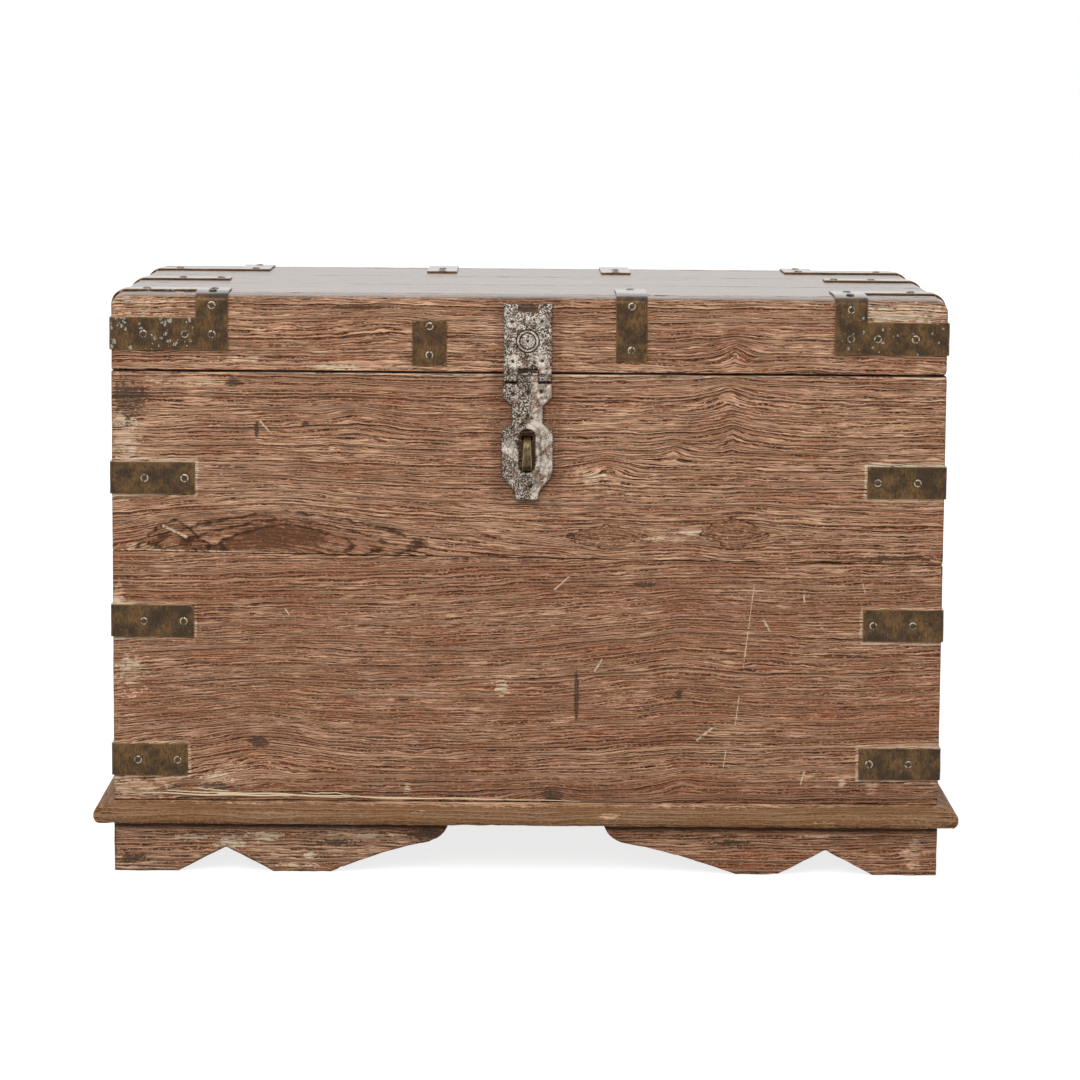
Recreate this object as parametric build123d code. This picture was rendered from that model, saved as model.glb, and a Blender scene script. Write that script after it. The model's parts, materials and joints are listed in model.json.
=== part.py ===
"""Strapped teak storage chest: plank body on a moulded plinth and scalloped bracket feet,
framed lid on two strap hinges, brass corner straps, and an iron hasp over a staple.

Frame: X to the right, Y from the front face to the back, Z up.
The origin lies on the floor, under the middle of the chest.
"""
from build123d import *
import math
import os

# ---------------------------------------------------------------- chest body, mm
WIDTH = 920.0  # across the front boards
DEPTH = 540.0  # front face to back face
WALL = 22.0  # thickness of the wall boards
BODY_HEIGHT = 480.0  # plinth top to body rim
BODY_ARRIS = 3.0  # round on the upright corners
JOINT_HEIGHT = 280.0  # slanting board joint above the plinth, at the left end
JOINT_FALL = 10.0  # fall of the joint to the right end
FLOOR_BOARD = 16.0  # thickness of the bottom boards
FLOOR_BOARDS = 2  # bottom boards, front to back
FIT = 0.3  # clearance between pieces that slide or drop in

# ---------------------------------------------------------------- plinth and feet
FOOT_HEIGHT = 57.0
FOOT_BOARD = 22.0  # thickness of the bracket boards
PLINTH_HEIGHT = 24.0
PLINTH_PROUD = 21.0  # how far the moulding stands out from the walls
PLINTH_LEDGE = 20.0  # inner ledge that carries the bottom boards
PLINTH_NOSE = 9.0  # radius of the rounded nose
PLINTH_SLOPE = 4.0  # fall of the weathered top of the moulding
FRONT_FOOT = 374.0  # length of a front or back bracket
FRONT_PAD = 72.0  # flat of the front foot at the corner
FRONT_CUSP = 53.0  # corner pad to the cusp, and the cusp to the lobe
FRONT_LOBE = 70.0  # flat of the inner lobe
SIDE_FOOT = 214.0  # length of a side bracket, behind the front board
SIDE_PAD = 50.0
SIDE_CUSP = 34.0
SIDE_LOBE = 28.0
CUSP_RISE = 28.0
FOOT_SHOULDER = 22.0  # height and run of the rounded inner end under the plinth
SLOPE_HOLLOW = 3.5  # hollow of the long slope

# ---------------------------------------------------------------- lid
LID_GAP = 0.3
LID_HEIGHT = 85.7
LID_WALL = 22.0
TOP_BOARD = 22.0
TOP_BOARDS = 3
LID_END_ROUND = 15.0  # large round along both ends of the lid top
LID_ARRIS = 5.0  # small round along the front and back

# ---------------------------------------------------------------- brass straps
STRAP = 2.2  # thickness of the strap stock
STRAP_WIDTH = 36.0
LOWER_STRAP_HEIGHT = 46.0  # strap centres above the plinth
MIDDLE_STRAP_HEIGHT = 202.0
UPPER_STRAP_HEIGHT = 361.5
LEFT_LOWER_LEG_LENGTH = 83.0  # legs on the front boards
LEFT_MIDDLE_LEG_LENGTH = 90.5
LEFT_UPPER_LEG_LENGTH = 92.0
RIGHT_LOWER_LEG_LENGTH = 90.0
RIGHT_MIDDLE_LEG_LENGTH = 88.0
RIGHT_UPPER_LEG_LENGTH = 86.0
BACK_LEG_LENGTH = 88.0  # legs on the back boards
END_LEG_LENGTH = 90.0  # legs on the ends of the chest
BRACKET_DROP = 63.5  # lid top down to the lower edge of the corner brackets
FRONT_LEFT_REACH = (129.0, 62.0)  # lid corner bracket, along X and along Y
FRONT_RIGHT_REACH = (125.0, 83.0)
BACK_LEFT_REACH = (146.0, 106.0)
BACK_RIGHT_REACH = (149.0, 90.0)
LEFT_END_STRAP_OFFSET = -16.0  # centre of the lid end strap along Y
RIGHT_END_STRAP_OFFSET = 34.0
END_STRAP_LENGTH = 113.0  # leg on the lid top
LID_PLATE_OFFSET = -110.0  # flat plate left of the hasp, centre along X
LID_PLATE_WIDTH = 38.0
LID_PLATE_HEIGHT = 49.5
LID_PLATE_DROP = 28.5  # top of the plate below the lid top
LID_STRAP_OFFSET = 112.0  # wrapping strap right of the hasp, centre along X
LID_STRAP_WIDTH = 34.5
LID_STRAP_DROP = 71.5  # lid top down to its lower end
LID_STRAP_LENGTH = 90.0  # leg on the lid top

# ---------------------------------------------------------------- screws
SCREW_HEAD = 9.0
SCREW_CROWN = 6.4
SCREW_RISE = 1.1
SCREW_SIDES = 8  # the small heads are drawn with few sides
SCREW_END = 11.5  # first screw from the free end of a leg
SCREW_PITCH = 44.0  # first screw to the second
BRACKET_SCREW_PITCH = 32.0  # the two screws in the upright leg of a lid bracket

# ---------------------------------------------------------------- strap hinges on the back
HINGE_OUT = 105.0  # centre of each hinge from the middle of the chest
HINGE_TOP_LEG = 125.0  # leg on the lid top
HINGE_TAIL = 95.0  # lower leaf, down the back of the body
HINGE_RADIUS = 5.0  # outside of the knuckles
HINGE_OFF = 0.5  # knuckles to the wood
HINGE_PIN = 5.0
KNUCKLE_GAP = 0.4
PIN_FIT = 0.1  # radial play of a pin

# ---------------------------------------------------------------- hasp and staple
HASP_MIDDLE = -2.0  # the hasp hangs a little left of the middle
PLATE_WIDTH = 53.0
PLATE_TOP = 9.0  # top of the plate below the lid top
PLATE = 2.5
NOTCH = (21.0, 9.3)  # width and depth of the notch in the top of the plate
SLIT = (22.0, 2.0)  # slit above the knuckles
SLIT_RISE = 3.0  # slit above the lid's lower edge
HASP_PIN_DROP = 6.0  # hinge pin below the lid's lower edge
HASP_KNUCKLE = 3.8
HASP_PIN = 3.6
HASP_OFF = 0.4  # knuckles to the wood
HASP_CENTRE_KNUCKLE = 23.0
LEAF = 2.6
LEAF_STAND = 3.0  # back of the leaf to the wood
LEAF_SHOULDER = (54.0, 4.0, 20.0)  # width, and its top and foot below the pin
LEAF_WAIST = (33.5, 30.0, 49.5)
LEAF_BODY = (56.5, 57.0, 106.0)
LEAF_TAIL = (26.0, 125.0, 134.5)
LEAF_ROUND = 3.5  # corners of the leaf
SLOT = (18.0, 48.4)
SLOT_TOP = 55.2  # top of the slot below the pin
RIM = 7.0  # raised rim round the slot
RIM_RISE = 2.2
STAPLE_WIDTH = 11.6
STAPLE_STOCK = 4.8
STAPLE_TOP = 63.7  # top of the staple below the pin
STAPLE_HEIGHT = 37.7
STAPLE_PROUD = 20.5  # nose of the staple to the wood
STAPLE_BEND = 13.0
STAPLE_DEPTH = 18.0  # legs driven into the board

# ---------------------------------------------------------------- levels and faces
HALF_W = WIDTH / 2
HALF_D = DEPTH / 2
PLINTH_TOP = FOOT_HEIGHT + PLINTH_HEIGHT
RIM_Z = PLINTH_TOP + BODY_HEIGHT
LID_Z = RIM_Z + LID_GAP
LID_TOP = LID_Z + LID_HEIGHT
HINGE_Y = HALF_D + HINGE_OFF + HINGE_RADIUS
HINGE_Z = (RIM_Z + LID_Z) / 2
HASP_Y = -HALF_D - HASP_OFF - HASP_KNUCKLE
HASP_Z = LID_Z - HASP_PIN_DROP
FAR = 2000.0  # reach of cutting blocks


def block(x0, x1, y0, y1, z0, z1):
    """A rectangular block between opposite corners, given in any order."""
    size = Box(abs(x1 - x0), abs(y1 - y0), abs(z1 - z0))
    return Pos((x0 + x1) / 2, (y0 + y1) / 2, (z0 + z1) / 2) * size


def save(name, *solids):
    """Write one node: a piece, or a group of like fasteners."""
    bodies = [one for item in solids for one in item.solids()]
    shape = bodies[0] if len(bodies) == 1 else Compound(children=bodies)
    export_step(shape, f"parts/{name}.step")


# ================================================================ chest body
def body_envelope(grow=0.0):
    """The outside of the plank body, or the same grown by a strap's thickness."""
    x, y = HALF_W + grow, HALF_D + grow
    box = block(-x, x, -y, y, PLINTH_TOP, RIM_Z)
    return fillet(box.edges().filter_by(Axis.Z), BODY_ARRIS + grow)


def joint_height(x):
    """Height of the slanting board joint at x."""
    return PLINTH_TOP + JOINT_HEIGHT - JOINT_FALL * (x + HALF_W) / WIDTH


def long_board(y0, y1, upper):
    """Upper or lower board of the front or the back, split along the slanting joint."""
    left, right = joint_height(-HALF_W), joint_height(HALF_W)
    edge = RIM_Z if upper else PLINTH_TOP
    outline = Polyline(
        (-HALF_W, edge), (HALF_W, edge), (HALF_W, right), (-HALF_W, left), close=True
    )
    face = Plane.XZ * make_face(outline)
    board = extrude(face, amount=DEPTH, both=True) & block(-FAR, FAR, y0, y1, 0, FAR)
    return board & body_envelope()


def end_board(side, upper):
    """Upper or lower board of an end, butted between the front and the back."""
    outer, inner = side * HALF_W, side * (HALF_W - WALL)
    joint = joint_height(outer)
    low, high = (joint, RIM_Z) if upper else (PLINTH_TOP, joint)
    return block(outer, inner, -HALF_D + WALL, HALF_D - WALL, low, high)


def bottom_board(index):
    """One of the boards that lie on the plinth ledge inside the walls."""
    x = HALF_W - WALL - FIT
    inside = DEPTH - 2 * WALL
    width = (inside - FIT * (FLOOR_BOARDS + 1)) / FLOOR_BOARDS
    y0 = -inside / 2 + FIT + index * (width + FIT)
    return block(-x, x, y0, y0 + width, PLINTH_TOP, PLINTH_TOP + FLOOR_BOARD)


# ================================================================ plinth and feet
def plinth_profile():
    """Section of the moulding: sloping top, round nose, flat underside; u points out."""
    back = -(WALL + PLINTH_LEDGE)
    nose_top = PLINTH_HEIGHT - PLINTH_SLOPE
    turn = (PLINTH_PROUD - PLINTH_NOSE, nose_top)
    tip = (PLINTH_PROUD, nose_top - PLINTH_NOSE)
    foot = (PLINTH_PROUD - PLINTH_NOSE / 2, 0)
    return [
        Polyline((foot[0], foot[1]), (back, 0), (back, PLINTH_HEIGHT), (0, PLINTH_HEIGHT), turn),
        RadiusArc(turn, tip, PLINTH_NOSE),
        ThreePointArc(tip, (PLINTH_PROUD - PLINTH_NOSE * 0.12, PLINTH_NOSE * 0.5), foot),
    ]


def plinth_rail(length, half_span, turn):
    """One moulding rail, mitred at both ends and turned to its side of the chest."""
    reach = length / 2 + PLINTH_PROUD
    section = make_face(Plane.YZ * plinth_profile_wire())
    rail = extrude(section, amount=reach, both=True)
    rail = Pos(0, half_span, FOOT_HEIGHT) * rail
    corner = half_span + PLINTH_PROUD
    depth = corner - (PLINTH_PROUD + WALL + PLINTH_LEDGE) - 1
    shift = reach - corner
    mitre = Polyline(
        (-(corner + shift), corner),
        (corner + shift, corner),
        (depth + shift, depth),
        (-(depth + shift), depth),
        close=True,
    )
    rail = rail & extrude(make_face(mitre), amount=PLINTH_TOP)
    return Rot(0, 0, turn) * rail


def plinth_profile_wire():
    return Wire([edge for item in plinth_profile() for edge in item.edges()])


def foot_outline(length, pad, run, lobe):
    """Outline of a bracket: corner pad, cusp, inner lobe and the long slope to its tip."""
    cusp = pad + run
    lobe_start = cusp + run
    lobe_end = lobe_start + lobe
    slope_start = (lobe_end, 0)
    slope_end = (length - FOOT_SHOULDER, FOOT_HEIGHT - FOOT_SHOULDER)
    middle = ((lobe_end + slope_end[0]) / 2, slope_end[1] / 2 + SLOPE_HOLLOW)
    knee = (length - FOOT_SHOULDER * 0.35, FOOT_HEIGHT - FOOT_SHOULDER * 0.62)
    return [
        Polyline(
            (length, FOOT_HEIGHT), (0, FOOT_HEIGHT), (0, 0), (pad, 0),
            (cusp, CUSP_RISE), (lobe_start, 0), slope_start,
        ),
        ThreePointArc(slope_start, middle, slope_end),
        ThreePointArc(slope_end, knee, (length, FOOT_HEIGHT)),
    ]


def bracket_foot(*outline):
    """A scalloped bracket board that starts at x = 0 and stands in the XZ plane."""
    edges = [edge for item in foot_outline(*outline) for edge in item.edges()]
    face = make_face(Plane.XZ * Wire(edges))
    return extrude(face, amount=-FOOT_BOARD)


def long_foot(side, front):
    """Front or back bracket, flush with the wall above it."""
    board = bracket_foot(FRONT_FOOT, FRONT_PAD, FRONT_CUSP, FRONT_LOBE)
    board = Pos(-HALF_W, -HALF_D, 0) * board
    if side > 0:
        board = mirror(board, about=Plane.YZ)
    return board if front else mirror(board, about=Plane.XZ)


def side_foot(side, front):
    """Side bracket, butted behind the front or back bracket."""
    board = Rot(0, 0, 90) * bracket_foot(SIDE_FOOT, SIDE_PAD, SIDE_CUSP, SIDE_LOBE)
    board = Pos(-HALF_W + FOOT_BOARD, -HALF_D + FOOT_BOARD, 0) * board
    if side > 0:
        board = mirror(board, about=Plane.YZ)
    return board if front else mirror(board, about=Plane.XZ)


# ================================================================ lid
def lid_envelope(grow=0.0):
    """The outside of the closed lid, or the same grown by a strap's thickness."""
    x, y = HALF_W + grow, HALF_D + grow
    box = block(-x, x, -y, y, LID_Z, LID_TOP + grow)
    ends = box.edges().filter_by(Axis.Y).group_by(Axis.Z)[-1]
    box = fillet(ends, LID_END_ROUND + grow)
    faces = box.faces().filter_by(Axis.Y)
    arrises = [e for face in faces for e in face.edges() if e.center().Z > LID_Z + 1]
    return fillet(arrises, LID_ARRIS + grow)


def lid_long_rail(side):
    """Front or back rail of the lid, full width and full height."""
    outer, inner = side * HALF_D, side * (HALF_D - LID_WALL)
    return lid_envelope() & block(-FAR, FAR, outer, inner, LID_Z, LID_TOP)


def lid_end_rail(side):
    """End rail of the lid, between the long rails and under the top boards."""
    outer, inner = side * HALF_W, side * (HALF_W - LID_WALL)
    y = HALF_D - LID_WALL
    return block(outer, inner, -y, y, LID_Z, LID_TOP - TOP_BOARD)


def lid_top_board(index):
    """One plank of the lid top, between the long rails, with rounded ends."""
    inside = DEPTH - 2 * LID_WALL
    width = (inside - FIT * (TOP_BOARDS + 1)) / TOP_BOARDS
    y0 = -inside / 2 + FIT + index * (width + FIT)
    return lid_envelope() & block(-FAR, FAR, y0, y0 + width, LID_TOP - TOP_BOARD, LID_TOP)


# ================================================================ brass straps
def lid_skin():
    """A layer of strap stock all over the outside of the lid."""
    return lid_envelope(STRAP) - lid_envelope()


def body_skin():
    """A layer of strap stock all round the outside of the body."""
    return body_envelope(STRAP) - body_envelope()


def corner_strap(skin, side_x, side_y, height, leg):
    """A strap bent round an upright corner of the body."""
    middle = PLINTH_TOP + height
    x0, x1 = side_x * FAR, side_x * (HALF_W - leg)
    y0, y1 = side_y * FAR, side_y * (HALF_D - END_LEG_LENGTH)
    low, high = middle - STRAP_WIDTH / 2, middle + STRAP_WIDTH / 2
    return skin & block(x0, x1, y0, y1, low, high)


def lid_corner_bracket(skin, side_x, side_y, reach):
    """A three-way bracket: an L of strap on the long face, on the top and on the end."""
    reach_x, reach_y = reach
    low = LID_TOP - BRACKET_DROP
    x_far, x_in = side_x * FAR, side_x * (HALF_W - reach_x)
    y_far, y_in = side_y * FAR, side_y * (HALF_D - reach_y)
    x_edge = x_in + side_x * STRAP_WIDTH
    y_edge = y_in + side_y * STRAP_WIDTH
    upright = block(x_in, x_edge, y_far, y_in, low, FAR)
    across = block(x_far, x_in, y_far, y_in, low, low + STRAP_WIDTH)
    over_end = block(x_far, x_in, y_in, y_edge, low, FAR)
    return skin & (upright + across + over_end)


def lid_end_strap(skin, side, middle):
    """A strap from the lid top, over the rounded end and down it."""
    half = STRAP_WIDTH / 2
    return skin & block(
        side * FAR, side * (HALF_W - END_STRAP_LENGTH), middle - half, middle + half,
        LID_TOP - BRACKET_DROP, FAR,
    )


def lid_front_plate(skin):
    """The flat plate on the lid front, cut short below the arris."""
    x0, x1 = LID_PLATE_OFFSET - LID_PLATE_WIDTH / 2, LID_PLATE_OFFSET + LID_PLATE_WIDTH / 2
    top = LID_TOP - LID_PLATE_DROP
    return skin & block(x0, x1, -FAR, 0, top - LID_PLATE_HEIGHT, top)


def lid_front_strap(skin):
    """The strap that runs up the lid front and over on to the top."""
    x0, x1 = LID_STRAP_OFFSET - LID_STRAP_WIDTH / 2, LID_STRAP_OFFSET + LID_STRAP_WIDTH / 2
    return skin & block(x0, x1, -FAR, -HALF_D + LID_STRAP_LENGTH, LID_TOP - LID_STRAP_DROP, FAR)


# ================================================================ hinges
def rod(x0, x1, y, z, radius):
    """A round bar along X."""
    bar = Cylinder(radius, abs(x1 - x0), rotation=(0, 90, 0))
    return Pos((x0 + x1) / 2, y, z) * bar


def knuckled(leaf, y, z, radius, bore, own, other):
    """Curl knuckles on to a leaf where it owns the pin, and clear it where it doesn't."""
    for x0, x1 in other:
        leaf = leaf - rod(x0 - KNUCKLE_GAP, x1 + KNUCKLE_GAP, y, z, radius + KNUCKLE_GAP)
    for x0, x1 in own:
        leaf = leaf + rod(x0, x1, y, z, radius)
    return leaf - rod(-FAR, FAR, y, z, bore)


def hinge_knuckles(middle):
    """Stretches of the pin that the lid leaf and the body leaf hold."""
    half, third = STRAP_WIDTH / 2, STRAP_WIDTH / 6
    lid = [(middle - half, middle - third), (middle + third, middle + half)]
    body = [(middle - third + KNUCKLE_GAP, middle + third - KNUCKLE_GAP)]
    return lid, body


def hinge_lid_leaf(skin, middle):
    """Upper leaf: along the lid top, over the back arris and down to its two knuckles."""
    half = STRAP_WIDTH / 2
    leaf = skin & block(middle - half, middle + half, HALF_D - HINGE_TOP_LEG, FAR, LID_Z, FAR)
    lid, body = hinge_knuckles(middle)
    return knuckled(leaf, HINGE_Y, HINGE_Z, HINGE_RADIUS, HINGE_PIN / 2 + PIN_FIT, lid, body)


def hinge_body_leaf(middle):
    """Lower leaf: down the back of the body from its single knuckle."""
    half = STRAP_WIDTH / 2
    leaf = block(
        middle - half, middle + half, HALF_D, HALF_D + STRAP, RIM_Z - HINGE_TAIL, RIM_Z
    )
    lid, body = hinge_knuckles(middle)
    return knuckled(leaf, HINGE_Y, HINGE_Z, HINGE_RADIUS, HINGE_PIN / 2 + PIN_FIT, body, lid)


def hinge_pin(middle):
    half = STRAP_WIDTH / 2
    return rod(middle - half, middle + half, HINGE_Y, HINGE_Z, HINGE_PIN / 2)


# ================================================================ hasp and staple
def hasp_knuckles():
    """Stretches of the hasp pin that the plate and the leaf hold."""
    half, centre = PLATE_WIDTH / 2, HASP_CENTRE_KNUCKLE / 2
    plate = [
        (HASP_MIDDLE - half, HASP_MIDDLE - centre - KNUCKLE_GAP),
        (HASP_MIDDLE + centre + KNUCKLE_GAP, HASP_MIDDLE + half),
    ]
    return plate, [(HASP_MIDDLE - centre, HASP_MIDDLE + centre)]


def hasp_plate():
    """Fixed plate of the hasp on the lid front, notched at the top, with two knuckles."""
    half = PLATE_WIDTH / 2
    top = LID_TOP - PLATE_TOP
    front, back = -HALF_D - PLATE, -HALF_D
    plate = block(HASP_MIDDLE - half, HASP_MIDDLE + half, front, back, HASP_Z, top)
    slit_z = LID_Z + SLIT_RISE
    for width, low, high in (
        (NOTCH[0], top - NOTCH[1], top + 1),
        (SLIT[0], slit_z, slit_z + SLIT[1]),
    ):
        x0, x1 = HASP_MIDDLE - width / 2, HASP_MIDDLE + width / 2
        plate = plate - block(x0, x1, front - 1, back + 1, low, high)
    own, other = hasp_knuckles()
    return knuckled(plate, HASP_Y, HASP_Z, HASP_KNUCKLE, HASP_PIN / 2 + PIN_FIT, own, other)


def leaf_face():
    """The hasp leaf seen from the front: shoulder, waist, body and tail, all rounded."""
    right = [
        (width / 2, -drop)
        for width, *drops in (LEAF_SHOULDER, LEAF_WAIST, LEAF_BODY, LEAF_TAIL)
        for drop in drops
    ]
    left = [(-x, z) for x, z in reversed(right)]
    face = make_face(Polyline(*right, *left, close=True))
    below_shoulder = face.vertices().filter_by(lambda corner: corner.Y < -LEAF_SHOULDER[1] - 1)
    return fillet(below_shoulder, LEAF_ROUND)


def oblong(width, height, top):
    """An upright round-ended outline below the hasp pin."""
    shape = SlotOverall(height, width, rotation=90)
    return Pos(0, -top - height / 2) * shape


def hasp_leaf():
    """Swinging leaf of the hasp: pressed plate with a raised rim round its slot."""
    back = -HALF_D - LEAF_STAND
    sheet = Plane((HASP_MIDDLE, back, HASP_Z), x_dir=(1, 0, 0), z_dir=(0, -1, 0))
    leaf = extrude(sheet * leaf_face(), amount=LEAF)
    front = sheet.offset(LEAF)
    rim = oblong(SLOT[0] + 2 * RIM, SLOT[1] + 2 * RIM, SLOT_TOP - RIM)
    leaf = leaf + extrude(front * rim, amount=RIM_RISE, taper=45)
    leaf = leaf - extrude(sheet * oblong(SLOT[0], SLOT[1], SLOT_TOP), amount=20, both=True)
    own, other = hasp_knuckles()
    x0, x1 = other[0]
    neck = block(x0, x1, back, back - LEAF, HASP_Z, HASP_Z - LEAF_SHOULDER[1] - 1)
    leaf = leaf + neck
    return knuckled(leaf, HASP_Y, HASP_Z, HASP_KNUCKLE, HASP_PIN / 2 + PIN_FIT, other, own)


def hasp_pin():
    half = PLATE_WIDTH / 2
    return rod(HASP_MIDDLE - half, HASP_MIDDLE + half, HASP_Y, HASP_Z, HASP_PIN / 2)


def staple():
    """Flat-stock staple driven into the front, with its eye outside the leaf."""
    top = HASP_Z - STAPLE_TOP
    low = top - STAPLE_HEIGHT
    nose, root = -HALF_D - STAPLE_PROUD, -HALF_D + STAPLE_DEPTH
    half = STAPLE_WIDTH / 2
    x0, x1 = HASP_MIDDLE - half, HASP_MIDDLE + half
    outer = block(x0, x1, nose, root, low, top)
    outer = fillet(outer.edges().filter_by(Axis.X).group_by(Axis.Y)[0], STAPLE_BEND)
    inner = block(
        x0 - 1, x1 + 1, nose + STAPLE_STOCK, root + 1, low + STAPLE_STOCK, top - STAPLE_STOCK
    )
    inner = fillet(
        inner.edges().filter_by(Axis.X).group_by(Axis.Y)[0], STAPLE_BEND - STAPLE_STOCK
    )
    return outer - inner


# ================================================================ screws
def screw_head():
    """A low round head that sits on its strap; its underside lies at z = 0."""
    slope = math.atan((SCREW_HEAD - SCREW_CROWN) / 2 / SCREW_RISE)
    outline = RegularPolygon(SCREW_HEAD / 2, SCREW_SIDES)
    return extrude(outline, amount=SCREW_RISE, taper=math.degrees(slope))


def heads_on(face, points):
    """Screw heads on a face, at points in the face's own plane."""
    return [face * Pos(u, v) * screw_head() for u, v in points]


def upright_face(side_y, proud):
    """Plane of the front (-1) or back (+1), with x to the right and y up."""
    return Plane((0, side_y * (HALF_D + proud), 0), x_dir=(-side_y, 0, 0), z_dir=(0, side_y, 0))


def end_face(side_x, proud):
    """Plane of the left (-1) or right (+1) end, with x along Y and y up."""
    return Plane((side_x * (HALF_W + proud), 0, 0), x_dir=(0, side_x, 0), z_dir=(side_x, 0, 0))


TOP_FACE = Plane((0, 0, LID_TOP + STRAP), x_dir=(1, 0, 0), z_dir=(0, 0, 1))


def leg_screws(side, leg, half, level):
    """Two screws along a strap leg that reaches in from a corner."""
    end = side * (half - leg + SCREW_END)
    return [(end, level), (end + side * SCREW_PITCH, level)]


def body_strap_screws():
    heads = []
    for side_x in (-1, 1):
        for side_y in (-1, 1):
            for level, height in STRAP_HEIGHTS.items():
                z = PLINTH_TOP + height
                leg = strap_leg(side_x, side_y, level)
                long_side = leg_screws(side_x, leg, HALF_W, z)
                long_side = [(-side_y * x, v) for x, v in long_side]
                heads += heads_on(upright_face(side_y, STRAP), long_side)
                short_side = leg_screws(side_y, END_LEG_LENGTH, HALF_D, z)
                short_side = [(side_x * y, v) for y, v in short_side]
                heads += heads_on(end_face(side_x, STRAP), short_side)
    return heads


def bracket_screws(side_x, side_y, reach):
    """Screws of one lid corner bracket on its three faces."""
    inset = STRAP_WIDTH / 2
    x_leg = side_x * (HALF_W - reach[0] + inset)
    y_leg = side_y * (HALF_D - reach[1] + inset)
    low = LID_TOP - BRACKET_DROP + inset
    x_out = side_x * (HALF_W - inset * 2)
    y_out = side_y * (HALF_D - inset)
    x_in = x_leg + side_x * (inset + SCREW_END)
    spots = ((x_leg, low), (x_leg, low + BRACKET_SCREW_PITCH), (x_in, low), (x_out, low))
    long_face = [(-side_y * x, z) for x, z in spots]
    heads = heads_on(upright_face(side_y, STRAP), long_face)
    heads += heads_on(end_face(side_x, STRAP), [(side_x * y_leg, low)])
    return heads + heads_on(TOP_FACE, [(x_leg, y_leg), (x_out, y_leg), (x_leg, y_out)])


def lid_strap_screws():
    heads = []
    for (side_x, side_y), reach in LID_CORNERS.items():
        heads += bracket_screws(side_x, side_y, reach)
    plate_top = LID_TOP - LID_PLATE_DROP
    plate = [plate_top - SCREW_HEAD * 0.7, plate_top - LID_PLATE_HEIGHT + SCREW_END]
    heads += heads_on(upright_face(-1, STRAP), [(LID_PLATE_OFFSET, z) for z in plate])
    strap = [LID_TOP - SCREW_END, LID_TOP - LID_STRAP_DROP + SCREW_END]
    heads += heads_on(upright_face(-1, STRAP), [(LID_STRAP_OFFSET, z) for z in strap])
    heads += heads_on(TOP_FACE, [(LID_STRAP_OFFSET, -HALF_D + LID_STRAP_LENGTH - SCREW_END)])
    for side, y in ((-1, LEFT_END_STRAP_OFFSET), (1, RIGHT_END_STRAP_OFFSET)):
        free = side * (HALF_W - END_STRAP_LENGTH + SCREW_END)
        heads += heads_on(TOP_FACE, [(free, y), (free + side * SCREW_PITCH, y)])
        heads += heads_on(end_face(side, STRAP), [(side * y, LID_TOP - BRACKET_DROP + SCREW_END)])
    return heads


def hinge_screws(middle):
    """Screws of one hinge: on the lid top, on the lid back and down the body back."""
    free = HALF_D - HINGE_TOP_LEG + SCREW_END
    lid = heads_on(TOP_FACE, [(middle, free), (middle, free + SCREW_PITCH)])
    lid += heads_on(upright_face(1, STRAP), [(-middle, LID_Z + LID_HEIGHT / 2)])
    low = RIM_Z - HINGE_TAIL + SCREW_END
    body = heads_on(upright_face(1, STRAP), [(-middle, low), (-middle, low + SCREW_PITCH)])
    return lid, body


# ================================================================ the chest
SIDES_X = {"left": -1, "right": 1}
SIDES_Y = {"front": -1, "back": 1}
STRAP_HEIGHTS = {
    "lower": LOWER_STRAP_HEIGHT,
    "middle": MIDDLE_STRAP_HEIGHT,
    "upper": UPPER_STRAP_HEIGHT,
}
LEFT_LEGS = {
    "lower": LEFT_LOWER_LEG_LENGTH,
    "middle": LEFT_MIDDLE_LEG_LENGTH,
    "upper": LEFT_UPPER_LEG_LENGTH,
}
RIGHT_LEGS = {
    "lower": RIGHT_LOWER_LEG_LENGTH,
    "middle": RIGHT_MIDDLE_LEG_LENGTH,
    "upper": RIGHT_UPPER_LEG_LENGTH,
}
LID_CORNERS = {
    (-1, -1): FRONT_LEFT_REACH,
    (1, -1): FRONT_RIGHT_REACH,
    (-1, 1): BACK_LEFT_REACH,
    (1, 1): BACK_RIGHT_REACH,
}


def strap_leg(side_x, side_y, level):
    """Length of a body strap's leg on the front or back."""
    if side_y > 0:
        return BACK_LEG_LENGTH
    return LEFT_LEGS[level] if side_x < 0 else RIGHT_LEGS[level]


def make_walls(staple_piece):
    for name, y0, y1 in (
        ("front", -HALF_D, -HALF_D + WALL),
        ("back", HALF_D - WALL, HALF_D),
    ):
        upper = long_board(y0, y1, True)
        if name == "front":
            upper = upper - staple_piece
        save(f"{name}_board_upper", upper)
        save(f"{name}_board_lower", long_board(y0, y1, False))
    for name, side in SIDES_X.items():
        save(f"{name}_end_board_upper", end_board(side, True))
        save(f"{name}_end_board_lower", end_board(side, False))
    for index in range(FLOOR_BOARDS):
        save(f"bottom_board_{index + 1}", bottom_board(index))


def make_plinth_and_feet():
    for name, turn in (("front", 180), ("back", 0)):
        save(f"plinth_{name}", plinth_rail(WIDTH, HALF_D, turn))
    for name, turn in (("left", 90), ("right", -90)):
        save(f"plinth_{name}", plinth_rail(DEPTH, HALF_W, turn))
    for x_name, side in SIDES_X.items():
        for y_name, front in (("front", True), ("back", False)):
            save(f"foot_{y_name}_{x_name}", long_foot(side, front))
            save(f"foot_{x_name}_side_{y_name}", side_foot(side, front))


def make_body_straps():
    skin = body_skin()
    for x_name, side_x in SIDES_X.items():
        for y_name, side_y in SIDES_Y.items():
            for level, height in STRAP_HEIGHTS.items():
                leg = strap_leg(side_x, side_y, level)
                strap = corner_strap(skin, side_x, side_y, height, leg)
                save(f"corner_strap_{y_name}_{x_name}_{level}", strap)


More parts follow.
